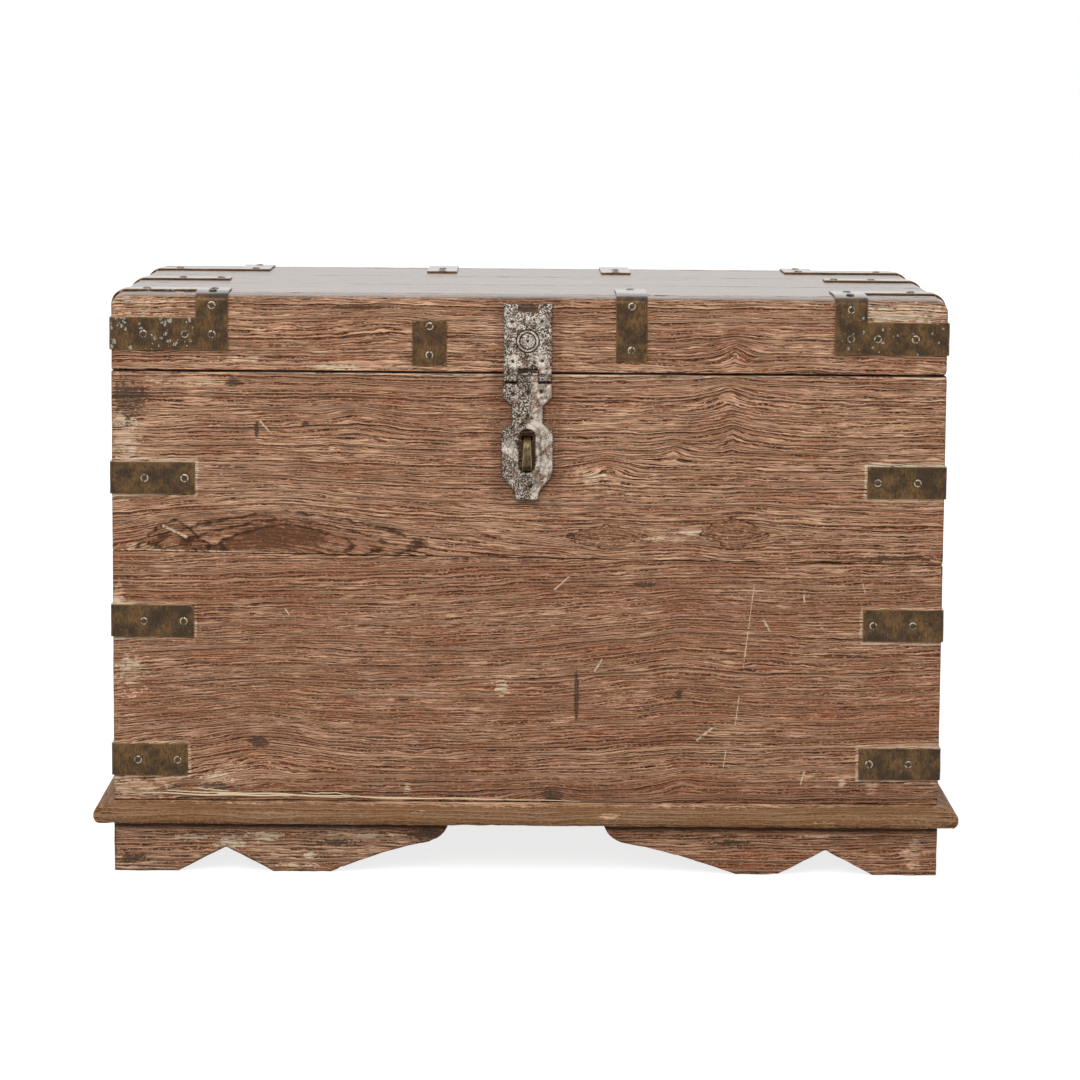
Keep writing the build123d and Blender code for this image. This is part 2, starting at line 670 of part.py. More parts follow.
def make_lid():
    save("lid_front_rail", lid_long_rail(-1))
    save("lid_back_rail", lid_long_rail(1))
    for name, side in SIDES_X.items():
        save(f"lid_{name}_rail", lid_end_rail(side))
    for index in range(TOP_BOARDS):
        save(f"lid_top_board_{index + 1}", lid_top_board(index))


def make_lid_straps(skin):
    for x_name, side_x in SIDES_X.items():
        for y_name, side_y in SIDES_Y.items():
            bracket = lid_corner_bracket(skin, side_x, side_y, LID_CORNERS[side_x, side_y])
            save(f"lid_corner_bracket_{y_name}_{x_name}", bracket)
    save("lid_end_strap_left", lid_end_strap(skin, -1, LEFT_END_STRAP_OFFSET))
    save("lid_end_strap_right", lid_end_strap(skin, 1, RIGHT_END_STRAP_OFFSET))
    save("lid_front_plate", lid_front_plate(skin))
    save("lid_front_strap", lid_front_strap(skin))


def make_hinges_and_screws(skin):
    lid_heads, body_heads = lid_strap_screws(), body_strap_screws()
    pins = []
    for name, side in SIDES_X.items():
        middle = side * HINGE_OUT
        save(f"hinge_lid_leaf_{name}", hinge_lid_leaf(skin, middle))
        save(f"hinge_body_leaf_{name}", hinge_body_leaf(middle))
        pins.append(hinge_pin(middle))
        on_lid, on_body = hinge_screws(middle)
        lid_heads += on_lid
        body_heads += on_body
    save("hinge_pins", *pins)
    save("lid_screws", *lid_heads)
    save("body_screws", *body_heads)


def make_hasp(staple_piece):
    save("staple", staple_piece)
    save("hasp_plate", hasp_plate())
    save("hasp_leaf", hasp_leaf())
    save("hasp_pin", hasp_pin())


def main():
    os.makedirs("parts", exist_ok=True)
    staple_piece = staple()
    make_walls(staple_piece)
    make_plinth_and_feet()
    make_body_straps()
    make_lid()
    skin = lid_skin()
    make_lid_straps(skin)
    make_hinges_and_screws(skin)
    make_hasp(staple_piece)


if __name__ == "__main__":
    main()
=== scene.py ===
"""Damchiya chest: limed teak boards, brass straps, an iron hasp, and the stage that they stand on.

Every length is in metres unless its name ends in _mm. Timber is drawn in millimetres, as (along the
grain, across the face, into the board).
"""

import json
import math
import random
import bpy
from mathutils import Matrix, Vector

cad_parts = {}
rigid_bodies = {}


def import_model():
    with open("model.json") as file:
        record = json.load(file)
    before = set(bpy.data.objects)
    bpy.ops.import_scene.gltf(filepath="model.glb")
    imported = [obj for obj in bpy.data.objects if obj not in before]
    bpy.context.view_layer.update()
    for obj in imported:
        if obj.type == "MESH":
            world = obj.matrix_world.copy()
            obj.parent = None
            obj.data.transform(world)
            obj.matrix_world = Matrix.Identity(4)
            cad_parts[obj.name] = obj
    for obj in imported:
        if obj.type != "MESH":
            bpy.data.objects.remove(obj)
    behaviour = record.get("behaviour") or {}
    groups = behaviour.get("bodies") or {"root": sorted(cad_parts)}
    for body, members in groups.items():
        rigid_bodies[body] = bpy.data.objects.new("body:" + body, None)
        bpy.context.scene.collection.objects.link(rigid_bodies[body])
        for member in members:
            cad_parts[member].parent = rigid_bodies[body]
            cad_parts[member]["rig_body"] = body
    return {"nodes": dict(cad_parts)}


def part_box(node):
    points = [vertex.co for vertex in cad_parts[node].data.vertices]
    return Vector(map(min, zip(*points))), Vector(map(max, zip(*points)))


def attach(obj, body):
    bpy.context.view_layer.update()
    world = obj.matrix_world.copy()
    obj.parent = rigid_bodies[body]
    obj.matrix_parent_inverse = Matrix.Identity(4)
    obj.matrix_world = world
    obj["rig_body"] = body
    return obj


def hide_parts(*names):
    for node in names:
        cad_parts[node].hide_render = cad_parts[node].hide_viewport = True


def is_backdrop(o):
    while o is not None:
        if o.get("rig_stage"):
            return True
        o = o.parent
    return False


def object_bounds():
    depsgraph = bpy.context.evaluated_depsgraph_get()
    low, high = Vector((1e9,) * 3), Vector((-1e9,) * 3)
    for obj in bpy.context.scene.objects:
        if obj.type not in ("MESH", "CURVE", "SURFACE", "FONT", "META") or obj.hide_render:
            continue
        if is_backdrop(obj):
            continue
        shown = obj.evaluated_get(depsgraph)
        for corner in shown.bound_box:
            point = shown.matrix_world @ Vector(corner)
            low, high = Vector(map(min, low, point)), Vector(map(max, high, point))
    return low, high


bl_info = {
    "name": "Damchiya Chest",
    "version": (1, 0, 0),
    "blender": (4, 5, 0),
    "location": "View3D > Sidebar > Chest",
    "description": "Dresses the plain solids of a strapped plank chest in worn timber, brass and iron",
    "category": "Object",
}

import bmesh
import bpy
import numpy as np
from mathutils import Matrix, Vector, noise

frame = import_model()
SOLID_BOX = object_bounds()
NODES = frame["nodes"]
MM = 0.001
ORIGIN = (0.0, 0.0, 0.0)
WHITE = (1.0, 1.0, 1.0, 1.0)
BLACK = (0.0, 0.0, 0.0, 1.0)
PIT_COLOUR = (0.022, 0.013, 0.008, 1.0)
STRAP_WIDTH_MM = 36.0
# Vertices closer than this are one, and a strap closer than this lies against a board.
WELD = 2e-6
TOUCH = 0.004
FRONT_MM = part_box("front_board_upper")[0][1] / MM
SEAM_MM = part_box("lid_front_rail")[0].z / MM - 0.15
CASE_MM = Vector([max(-low, high) / MM for low, high in zip(*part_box("lid_front_rail"))])


def linear(*parts):
    """A colour given on a 0 to 255 scale, as the linear colour that a shader takes."""
    parts = [part / 255 for part in parts]
    return (*(part / 12.92 if part <= 0.04045 else ((part + 0.055) / 1.055) ** 2.4 for part in parts), 1.0)


def colour(name, description, red, green, blue):
    """A colour property with a default picked on the 0 to 255 scale."""
    return bpy.props.FloatVectorProperty(
        name=name, description=description, subtype="COLOR", size=4, min=0.0, max=1.0,
        default=linear(red, green, blue),
    )


def measure(name, description, default, **options):
    """A property that is one number."""
    return bpy.props.FloatProperty(name=name, description=description, default=default, **options)


def length(name, description, default):
    """A length property in metres."""
    return measure(name, description, default, min=0.0, unit="LENGTH", precision=5)


def angle(name, description, degrees):
    """An angle property, with its default in degrees."""
    return measure(name, description, math.radians(degrees), subtype="ANGLE")


class ChestTimber(bpy.types.PropertyGroup):
    """Colours and wear of the boards."""

    heart: colour("Heartwood", "Warm brown between the rings", 137, 78, 42)
    amber: colour("Amber heartwood", "Redder brown of the better boards", 147, 79, 42)
    russet: colour("Russet heartwood", "Redder streaks of the heartwood", 118, 64, 32)
    late: colour("Latewood", "Dark line that ends each ring", 46, 22, 8)
    lime: colour("Lime", "Pale lime left in the pores", 222, 178, 144)
    chalk: colour("Chalk", "Greyer lime where it lies thick", 214, 194, 166)
    olive: colour("Olive heartwood", "Browner wood of the plinth", 138, 98, 60)
    weathered: colour("Weathered wood", "Grey brown of the handled places", 118, 92, 74)
    splinter: colour("Splinters", "Bare pale wood of the split fibres", 226, 208, 176)
    # Painted sheen: the grey that the top of the lid shows as it catches the light.
    bleached: colour("Bleached wood", "Greyed top of the lid", 113, 110, 108)
    # Also the colour of the painted shade round the hasp and under the plinth.
    grime: colour("Grime", "Dark grey of knots and cracks", 66, 54, 44)
    # Painted shade: the black brown of the seam under the lid.
    crevice: colour("Crevice", "Black brown dirt in the seam under the lid", 34, 16, 8)
    arris: length("Arris", "Width of the rounded arrises", 0.0012)
    lid_fall: length("Lid fall", "How far the lid top falls towards its front arris", 0.0042)
    lid_run: length("Lid run", "Width of the strip of the lid top that falls to the front", 0.026)
    wear_depth: length("Wear", "How deep the arrises are worn away", 0.0009)
    undulation: length("Undulation", "Height of the waves that the hand plane left", 0.00025)
    along_cell: length("Cell along", "Size of a mesh cell along the grain", 0.007)
    across_cell: length("Cell across", "Size of a mesh cell across the grain", 0.011)


class ChestMetal(bpy.types.PropertyGroup):
    """Colours and dents of the brass and the iron."""

    brass: colour("Brass", "Old brass under its patina", 114, 82, 42)
    patina: colour("Patina", "Dark brown patina of the straps", 42, 29, 15)
    verdigris: colour("Verdigris", "Pale green specks on the straps", 162, 156, 136)
    screw: colour("Screw", "Brass of the screw heads", 108, 86, 58)
    # Painted highlight: the bright rim of the screw heads, also laid along the arrises of the staple.
    rim: colour("Rubbed rim", "Bright rim of the screw heads", 196, 174, 140)
    iron: colour("Iron", "Dark iron of the hasp", 92, 76, 62)
    rust: colour("Rust", "Brown stain of the hasp", 112, 78, 54)
    iron_lime: colour("Limed iron", "Pale lime rubbed into the iron", 210, 198, 184)
    # Painted shade: the colour inside holes, slots, engraved lines and knuckle gaps, and along the arrises
    # of the iron.
    hole: colour("Hole", "Inside of the punched holes and engraved lines", 38, 28, 20)
    staple: colour("Staple", "Rubbed brass of the staple", 126, 110, 78)
    dent: length("Dents", "Depth of the hammer dents in the straps", 0.00025)
    dimple: length("Dimples", "How deep a screw pulls the strap in", 0.0006)
    slot_width: length("Slot", "Width of the slot in a screw head", 0.0014)
    pit: length("Pits", "Depth of the rust pits in the hasp", 0.00018)


class ChestStage(bpy.types.PropertyGroup):
    """Camera, light and floor."""

    focal: measure("Focal length", "Focal length on the 36 mm sensor", 123.89, subtype="DISTANCE_CAMERA")
    eye: bpy.props.FloatVectorProperty(
        name="Eye", description="Where the camera stands", default=(-0.01397, -4.347, 0.89997),
        subtype="TRANSLATION",
    )
    pitch: angle("Pitch", "How far the camera looks down", 7.32)
    yaw: angle("Yaw", "How far the camera turns to the right", 0.38)
    roll: angle("Roll", "How far the camera leans to its left", 0.46)
    sky: measure("Sky", "Strength of the soft light from all round", 0.72, min=0.0)
    lamp: measure("Lamp", "Power of the soft lamp in front", 70.0, min=0.0, unit="POWER")


# ---------------------------------------------------------------- shader sheets


class Wire:
    """The output of a node. Sums, products and the like place the nodes that work them out."""

    def __init__(self, sheet, socket):
        self.sheet = sheet
        self.socket = socket

    def to(self, operation, *others):
        return self.sheet.reckon(operation, self, *others)

    def __add__(self, other):
        return self.to("ADD", other)

    def __sub__(self, other):
        return self.to("SUBTRACT", other)

    def __rsub__(self, other):
        return self.sheet.reckon("SUBTRACT", other, self)

    def __mul__(self, other):
        return self.to("MULTIPLY", other)

    def __truediv__(self, other):
        return self.to("DIVIDE", other)

    def __pow__(self, other):
        return self.to("POWER", other)

    def __or__(self, other):
        """The greater of the two."""
        return self.to("MAXIMUM", other)

    def __abs__(self):
        return self.to("ABSOLUTE")

    __radd__ = __add__
    __rmul__ = __mul__
    __ror__ = __or__

    def parts(self):
        node = self.sheet.add("ShaderNodeSeparateXYZ", (self,))
        return [Wire(self.sheet, socket) for socket in node.outputs]

    def ramp(self, low, high, to_low=0.0, to_high=1.0, smooth=True):
        """Maps low..high to to_low..to_high, held at both ends."""
        values = (self, low, high, to_low, to_high)
        kind = "SMOOTHSTEP" if smooth else "LINEAR"
        node = self.sheet.add("ShaderNodeMapRange", values, interpolation_type=kind)
        return Wire(self.sheet, node.outputs[0])

    def noise(self, stretch, detail=2.0, roughness=0.5):
        """Noise from 0 to 1. stretch is the size of one cell along each axis."""
        node = self.sheet.add("ShaderNodeTexNoise", (self / stretch,), noise_dimensions="3D")
        for name, value in (("Scale", 1.0), ("Detail", detail), ("Roughness", roughness)):
            node.inputs[name].default_value = value
        return Wire(self.sheet, node.outputs["Fac"])

    def swing(self, stretch, size, detail=1.0):
        """Noise that swings to both sides of nothing, by up to about size."""
        return (self.noise(stretch, detail) - 0.5) * size

    def hash(self):
        """A fixed random number from 0 to 1 for each value."""
        node = self.sheet.add("ShaderNodeTexWhiteNoise", noise_dimensions="1D")
        self.sheet.feed(node.inputs["W"], self)
        return Wire(self.sheet, node.outputs["Value"])


def is_vector(value):
    """Whether a wire or a plain value is a vector, not a number."""
    return value.socket.type == "VECTOR" if isinstance(value, Wire) else not isinstance(value, (int, float))


def label(name):
    """The name on a socket: ring_width is Ring Width."""
    return name.replace("_", " ").title().replace("Ior", "IOR")


class Sheet:
    """One node tree, with short ways to add and join its nodes."""

    def __init__(self, tree):
        self.tree = tree

    def add(self, kind, values=(), **options):
        """Adds a node with its options and feeds its first inputs."""
        node = self.tree.nodes.new(kind)
        for name, value in options.items():
            setattr(node, name, value)
        for socket, value in zip(node.inputs, values):
            self.feed(socket, value)
        return node

    def feed(self, socket, value):
        """Joins a socket to a wire, or gives it a plain value."""
        if isinstance(value, Wire):
            self.tree.links.new(value.socket, socket)
        else:
            socket.default_value = value

    def feed_named(self, inputs, values):
        for name, value in values.items():
            self.feed(inputs[label(name)], value)

    def reckon(self, operation, *values, clamp=False):
        """One step of maths: with vectors where any of the values is a vector, or else with numbers."""
        if any(is_vector(value) for value in values):
            values = [(value,) * 3 if isinstance(value, (int, float)) else value for value in values]
            node = self.add("ShaderNodeVectorMath", values, operation=operation)
        else:
            node = self.add("ShaderNodeMath", values, operation=operation, use_clamp=clamp)
        return Wire(self, node.outputs[int(operation in ("LENGTH", "DOT_PRODUCT"))])

    def whole(self, *values):
        return Wire(self, self.add("ShaderNodeCombineXYZ", values).outputs[0])

    def mix(self, factor, first, second):
        node = self.add("ShaderNodeMix", (factor,), data_type="RGBA", blend_type="MIX", clamp_factor=True)
        self.feed(node.inputs[6], first)
        self.feed(node.inputs[7], second)
        return Wire(self, node.outputs[2])

    def coats(self, base, *coats):
        """Lays colours over a base one after another, each by its own share."""
        for share, over in coats:
            base = self.mix(share, base, over)
        return base

    def carried(self, name):
        """A number that the mesh carries at every vertex."""
        return Wire(self, self.add("ShaderNodeAttribute", attribute_name=name).outputs["Fac"])


def strongest(masks):
    """The greatest of some masks at each place, or nothing."""
    total = 0.0
    for mask in masks:
        if isinstance(mask, Wire):
            total = total | mask if isinstance(total, Wire) else mask
    return total


def new_socket(tree, name, side, default):
    """A socket of a node group, of the kind that its default is: a number, a vector or a colour."""
    kind = {3: "NodeSocketVector", 4: "NodeSocketColor"}.get(np.size(default), "NodeSocketFloat")
    tree.interface.new_socket(name=name, in_out=side, socket_type=kind).default_value = default


def draw_group(draw, name, outputs, inputs):
    """Makes the node tree of a group."""
    tree = bpy.data.node_groups.new(name, "ShaderNodeTree")
    for key, default in inputs.items():
        new_socket(tree, label(key), "INPUT", default)
    for output in outputs:
        new_socket(tree, output, "OUTPUT", WHITE if output == "Color" else 0.0)
    sheet = Sheet(tree)
    given = sheet.add("NodeGroupInput").outputs
    result = draw(sheet, **{key: Wire(sheet, given[label(key)]) for key in inputs})
    sheet.add("NodeGroupOutput", result if len(outputs) > 1 else (result,))
    return tree


def node_group(name, *outputs, **inputs):
    """Turns a function of wires into a node group with these sockets, made when it is first placed."""

    def wrap(draw):
        trees = []

        def place(sheet, *values, **named):
            """Places the group and gives its inputs values. Returns its one wire or all of them."""
            if not trees:
                trees.append(draw_group(draw, name, outputs, inputs))
            node = sheet.add("ShaderNodeGroup", node_tree=trees[0])
            for socket, value in zip(node.inputs, values):
                sheet.feed(socket, value)
            sheet.feed_named(node.inputs, named)
            wires = [Wire(sheet, socket) for socket in node.outputs]
            return wires if len(wires) > 1 else wires[0]

        return place

    return wrap


@node_group("Grain Figure", "Lift", position=ORIGIN, place=ORIGIN, reach=60.0, span=12.0, rise=8.0,
            blunt=0.3, rounded=0.8, part=0.0)
def figure(sheet, position, place, reach, span, rise, blunt, rounded, part):
    """Lifts the grain round one place, so that its lines peak over it, wind round it or part."""
    along, across, into = (position - place).parts()
    fall = abs(into) * -0.02
    for offset, size, soft in ((along, reach, blunt), (across, span, rounded)):
        ratio = offset / size
        fall = fall + (soft - (ratio * ratio + soft * soft).to("SQRT"))
    side = across.to("SIGN") * part + (1.0 - part)
    return fall.to("EXPONENT") * rise * side


# Sets of rings: how many to a ring width, how strong from and to, how much of each ring is dark and
# pale, and the size of the cells that break its lines.
RING_SETS = (
    (1.0, 0.7, 1.0, 0.12, 0.08, (120, 12, 40)),
    (2.2, 0.45, 1.0, 0.34, 0.22, (90, 8, 30)),
    (5.0, 0.5, 1.0, 0.5, 0.4, (60, 5, 30)),
    (8.1, 0.2, 0.85, 0.5, 0.42, (32, 3, 12)),
)


@node_group("Limed Grain", "Color", "Roughness", "Height", position=ORIGIN, lift=0.0, seed=0.0, slope=0.0,
            wander=14.0, ring_width=9.0, line_strength=0.8, lime_amount=0.5, weathering=0.3, dirt=0.0,
            heart=WHITE, russet=WHITE, weathered=WHITE, late=WHITE, lime=WHITE, grime=WHITE, chalk=WHITE)
def limed_grain(sheet, position, lift, seed, slope, wander, ring_width, line_strength, lime_amount,
                weathering, dirt, heart, russet, weathered, late, lime, grime, chalk):
    """Rings, pores and lime of one board, with its dirt and painted shade."""
    place = position + seed * (37.7, 91.3, 53.1)
    along, across, depth = position.parts()
    level = along * slope + across + depth * 0.35 - lift + place.swing((240, 60, 60), wander)
    level = level + place.swing((48, 15, 30), 5.5) + place.swing((11, 5, 20), 2.2, 2.0)
    rung = level + sheet.whole(level, seed, 0.0).swing((34, 1, 1), 9.0)
    strand = sheet.whole(along, level, across + (seed * 17.3 + depth))

    calm = lift.ramp(26.0, 60.0, 1.0, 0.25)
    band = line = pale = 0.0
    for rings, least, most, dark_share, pale_share, run in RING_SETS:
        wound = rung / ring_width * rings
        part = wound.to("FRACT")
        number = wound.to("FLOOR").to("MULTIPLY_ADD", 1.37, rings)
        strong = number.hash().ramp(0.0, 1.0, least, most, smooth=False)
        strong = strong * strand.noise(run).ramp(0.36, 0.56, least, 1.0)
        if rings == 1.0:
            band = part ** (number + 0.41).hash().ramp(0.0, 1.0, 1.6, 9.0, smooth=False) * strong
        if rings > 3:
            strong = strong * calm
        line = line | part.ramp(1.0 - dark_share, 1.0 - dark_share * 0.3) * strong
        pale = pale | part.ramp(pale_share * 0.3, pale_share, 1.0, 0.0) * strong
    line = line * line_strength

    curled = place.noise((2.2, 1.6, 3), 2.0, 0.6)
    pores = (strand.noise((24, 1.2, 8), 2.0, 0.6) - curled) * calm + curled
    crumbs = ((strand + (0.0, 0.0, 400.0)).noise((3.2, 1.2, 3), 1.0) - 0.5) * calm + 0.5
    patches = place.noise((95, 30, 60), 3.0, 0.6)
    tint = (place + (900.0, 0.0, 0.0)).noise((150, 26, 60), 2.5, 0.6)
    crackle = (place + (0.0, 700.0, 0.0)).noise((3.5, 6, 6), 3.0, 0.65)
    # Dirt and painted shade, broken up by the crackle.
    soiled_and_shaded = dirt * crackle.ramp(0.42, 0.6, 1.0, 0.5)
    base = sheet.coats(
        heart,
        (tint.ramp(0.4, 0.64, 0.0, 0.55), russet),
        (band * 0.75, russet),
        (patches.ramp(0.4, 0.62) * weathering, weathered),
        (pores.ramp(0.49, 0.41) * line_strength, late),
        (line, late),
        (crumbs.ramp(0.4, 0.32, 0.0, 0.5), late),
        (soiled_and_shaded, grime),
    )

    amount = patches.ramp(0.36, 0.66) * 0.4 + lime_amount - (band * 0.5 + dirt)
    filled = ((amount - 0.6) * 0.16 + pores).ramp(0.51, 0.61) | crumbs.ramp(0.56, 0.66, 0.0, 0.7)
    filled = filled * line.ramp(0.3, 0.8, 1.0, 0.35)
    limed = (filled | pale * 0.9) * amount.ramp(-0.6, 1.2, 0.2, 1.15, smooth=False) * (soiled_and_shaded * -0.7 + 1.0)
    base = sheet.mix(limed, base, sheet.mix(amount.ramp(0.9, 1.5), lime, chalk))
    return base, limed * 0.22 + 0.6, pale * 0.4 + (line * -0.8 + pores * 0.4)


@node_group("Grain Eye", "Inside", "Edge", position=ORIGIN, place=ORIGIN, radius=(30.0, 12.0, 1.0),
            ragged=1.0)
def grain_eye(sheet, position, place, radius, ragged):
    """A closed eye in the grain: a lens with a thin edge."""
    along, across, into = abs((position - place) / radius).parts()
    away = along**1.2 + across**1.5 + position.swing((12, 7, 9), 1.3, 4.0) * ragged
    return away.ramp(0.92, 1.02, 1.0, 0.0), abs(away - 1.0).ramp(0.02, 0.1, 1.0, 0.0)


@node_group("Lime Rim", "Mask", position=ORIGIN, middle=ORIGIN, half_size=ORIGIN, width=3.5)
def halo(sheet, position, middle, half_size, width):
    """A thin uneven rim round a box, such as the lime round a strap, or the painted shade round the hasp and
    the plinth.
    """
    outside = (abs(position - middle) - half_size) | ORIGIN
    away = outside.to("LENGTH") + position.swing((9, 9, 9), 5.0, 3.0)
    return (away / width).ramp(0.55, 1.25, 1.0, 0.0)


@node_group("Ring Mark", "Mask", position=ORIGIN, place=ORIGIN, radius=0.0, width=1.0)
def ring(sheet, position, place, radius, width):
    """A round line, or a round spot where the radius is nothing, on a face."""
    away = abs(((position - place) * (1.0, 0.0, 1.0)).to("LENGTH") - radius)
    return ((away + position.swing((2, 2, 2), 0.7, 2.0)) / width).ramp(0.6, 1.15, 1.0, 0.0)


@node_group("Outer Shell", "Mask", position=ORIGIN, half_size=ORIGIN)
def outer_shell(sheet, position, half_size):
    """The outer few millimetres of the chest, where straps, knocks and dirt have left their marks and where
    the painted shade lies.
    """
    x, y, z = (half_size - abs(position)).parts()
    return x.to("MINIMUM", y.to("MINIMUM", z)).ramp(4.0, 9.0, 1.0, 0.0)


@node_group("Dirty Seam", "Mask", height=0.0, seam=0.0)
def shaded_seam(sheet, height, seam):
    """Painted shade: the dark line of the seam between the lid and the body."""
    return abs(height - seam).ramp(0.9, 2.1, 1.0, 0.0)


@node_group("Scratch", "Mask", position=ORIGIN, start=ORIGIN, end=ORIGIN, width=1.0)
def scratch(sheet, position, start, end, width):
    """A straight scratch between two places on a face."""
    flat = (1.0, 1.0, 0.0)
    moved = (position - start) * flat
    run = (end - start) * flat
    done = sheet.reckon("DIVIDE", moved.to("DOT_PRODUCT", run), run.to("DOT_PRODUCT", run), clamp=True)
    away = (moved - run * done).to("LENGTH") + position.swing((18, 18, 18), 1.6, 2.0)
    return (abs(away) / width).ramp(0.4, 1.0, 1.0, 0.0) * position.noise((3, 3, 3)).ramp(0.35, 0.5)


@node_group("Blotch", "Mask", position=ORIGIN, place=ORIGIN, radius=(10.0, 5.0, 1.0), ragged=0.6)
def blotch(sheet, position, place, radius, ragged):
    """A ragged patch round one place on a face."""
    away = ((position - place) / radius * (1.0, 1.0, 0.0)).to("LENGTH")
    rough = position.noise((7, 4, 7), 4.0, 0.7) - 0.5
    return (rough * (ragged * 4.0) + away).ramp(0.6, 1.1, 1.0, 0.0)


@node_group("Rubbed Arris", "Mask", position=ORIGIN, width=3.0, ragged=1.0)
def wear(sheet, position, width, ragged):
    """Where the arrises are rubbed, from the distance to the nearest arris that the mesh carries. On the
    staple it also lays a painted highlight.
    """
    away = sheet.carried("arris_mm") + position.swing((16, 7, 16), 9.0, 4.0) * ragged
    return (away / width).ramp(0.2, 1.2, 1.0, 0.0)


@node_group("Brass Patina", "Color", "Roughness", "Metallic", "Height", "Coat", position=ORIGIN, brass=WHITE,
            patina=WHITE, speck=WHITE, speck_amount=0.5, seed=0.0, rubbed=0.0, upward=0.0)
def brass_patina(sheet, position, brass, patina, speck, speck_amount, seed, rubbed, upward):
    """Dark patina over brass, rubbed bright along the edges and on top, with pale comma-shaped specks."""
    place = position + seed * (31.0, 17.0, 23.0)
    clouds = place.noise((18, 18, 18), 4.0, 0.6)
    fine = place.noise((1.6, 1.6, 6.0), 3.0, 0.7)
    bent = place + place.swing((5, 5, 5), 6.0)
    bent = bent / (5.5, 5.5, 7.5)
    cells = sheet.add("ShaderNodeTexVoronoi", (bent,), feature="F1", voronoi_dimensions="3D")
    cells.inputs["Scale"].default_value = 1.0
    size = Wire(sheet, cells.outputs["Color"]).parts()[0] * 0.5
    away = speck_amount * 0.5 - size - Wire(sheet, cells.outputs["Distance"])
    spots = away.ramp(0.0, 0.05) * fine.ramp(0.42, 0.52, 0.25, 1.0) * 0.85
    spots = spots | place.noise((1.6, 1.6, 1.6), 2.0, 0.7).ramp(0.64, 0.74, 0.0, 0.3)
    base = sheet.coats(
        patina,
        (clouds.ramp(0.35, 0.68, 0.1, 0.75), brass),
        (fine.ramp(0.48, 0.6, 0.0, 0.65), patina),
        (rubbed * fine.ramp(0.4, 0.55), brass),
        (away.ramp(-0.12, -0.02) * 0.6, sheet.mix(0.5, patina, BLACK)),
        (spots, speck),
    )
    top = upward.ramp(0.5, 0.85)
    roughness = fine.ramp(0.3, 0.7, 0.36, 0.58) * (top * -0.5 + 1.0)
    return base, roughness, 0.8 - spots * 0.7, clouds * 1.5 + fine, top * 0.6 + 0.2


@node_group("Pitted Iron", "Color", "Roughness", "Metallic", "Height", position=ORIGIN, iron=WHITE,
            lime=WHITE, rust=WHITE, lime_amount=0.6, worn_smooth=0.0)
def pitted_iron(sheet, position, iron, lime, rust, lime_amount, worn_smooth):
    """Dark iron with lime in it and pits through the lime."""
    clouds = position.noise((8, 8, 8), 5.0, 0.75)
    zones = (position + (60.0, 0.0, 20.0)).noise((16, 16, 16))
    pits = position.noise((1.7, 1.7, 1.7), 2.0, 0.7)
    rough = (zones - worn_smooth * 0.3).ramp(0.32, 0.46)
    pitted = pits.ramp(0.53, 0.46) * (rough * 0.75 + 0.25)
    rusty = (position + (0.0, 0.0, 300.0)).noise((13, 13, 13)).ramp(0.5, 0.62)
    cover = (clouds + lime_amount * 0.3).ramp(0.52, 0.8) | pits.ramp(0.56, 0.66, 0.0, 0.8)
    cover = cover * rusty.ramp(0.0, 1.0, 1.0, 0.55)
    base = sheet.coats(iron, (rusty, rust), (cover, lime), (pitted * 0.92, PIT_COLOUR))
    return base, rough.ramp(0.0, 1.0, 0.34, 0.6), (1.0 - pitted) * 0.8, clouds - pitted


def new_finish(name, shader_kind="ShaderNodeBsdfPrincipled"):
    """A material with one shader. Returns the material, its sheet and the shader."""
    finish = bpy.data.materials.new(name)
    finish.use_nodes = True
    finish.node_tree.nodes.clear()
    sheet = Sheet(finish.node_tree)
    shader = sheet.add(shader_kind)
    output = sheet.add("ShaderNodeOutputMaterial")
    sheet.tree.links.new(shader.outputs[0], output.inputs["Surface"])
    return finish, sheet, shader


def paint(sheet, shader, relief=None, **values):
    """Feeds the shader. relief is a height from 0 to 1 and its depth in metres."""
    sheet.feed_named(shader.inputs, values)
    if relief:
        bump = sheet.add("ShaderNodeBump")
        sheet.feed_named(bump.inputs, {"strength": 1.0, "distance": relief[1], "height": relief[0]})
        sheet.tree.links.new(bump.outputs[0], shader.inputs["Normal"])


def place_in_mm(sheet, order="xyz"):
    """The place on the piece in millimetres, with its axes in the given order."""
    place = Wire(sheet, sheet.add("ShaderNodeTexCoord").outputs["Object"]) * (1 / MM)
    if order == "xyz":
        return place
    parts = place.parts()
    return sheet.whole(*(parts["xyz".index(axis)] for axis in order))


# ---------------------------------------------------------------- timber


def grain_order(node):
    """The axes of a board in the order along the grain, across its face, into it."""
    if node.startswith(("lid_top", "bottom_board")):
        return "xyz"
    across_ends = node.startswith(("left", "right", "lid_left", "lid_right", "plinth_left", "plinth_right"))
    return "yzx" if across_ends or "_side_" in node else "xzy"


def box_in_mm(node):
    return [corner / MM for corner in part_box(node)]


def middle_and_half(low, high):
    """The middle and the half size of a box."""
    return (low + high) / 2, (high - low) / 2


def strap_legs(node):
    """Middle and half size, in millimetres, of every flat leg of a strap or bracket."""
    low, high = box_in_mm(node)
    boxes = [(low, high)]
    if node.startswith("lid_corner_bracket"):
        wide = STRAP_WIDTH_MM
        boxes = [(low, Vector((high.x, high.y, low.z + wide)))]
        for axis in range(2):
            start, end = low.copy(), high.copy()
            if low[axis] < 0:
                start[axis] = high[axis] - wide
            else:
                end[axis] = low[axis] + wide
            boxes.append((start, end))
    return [middle_and_half(*box) for box in boxes]


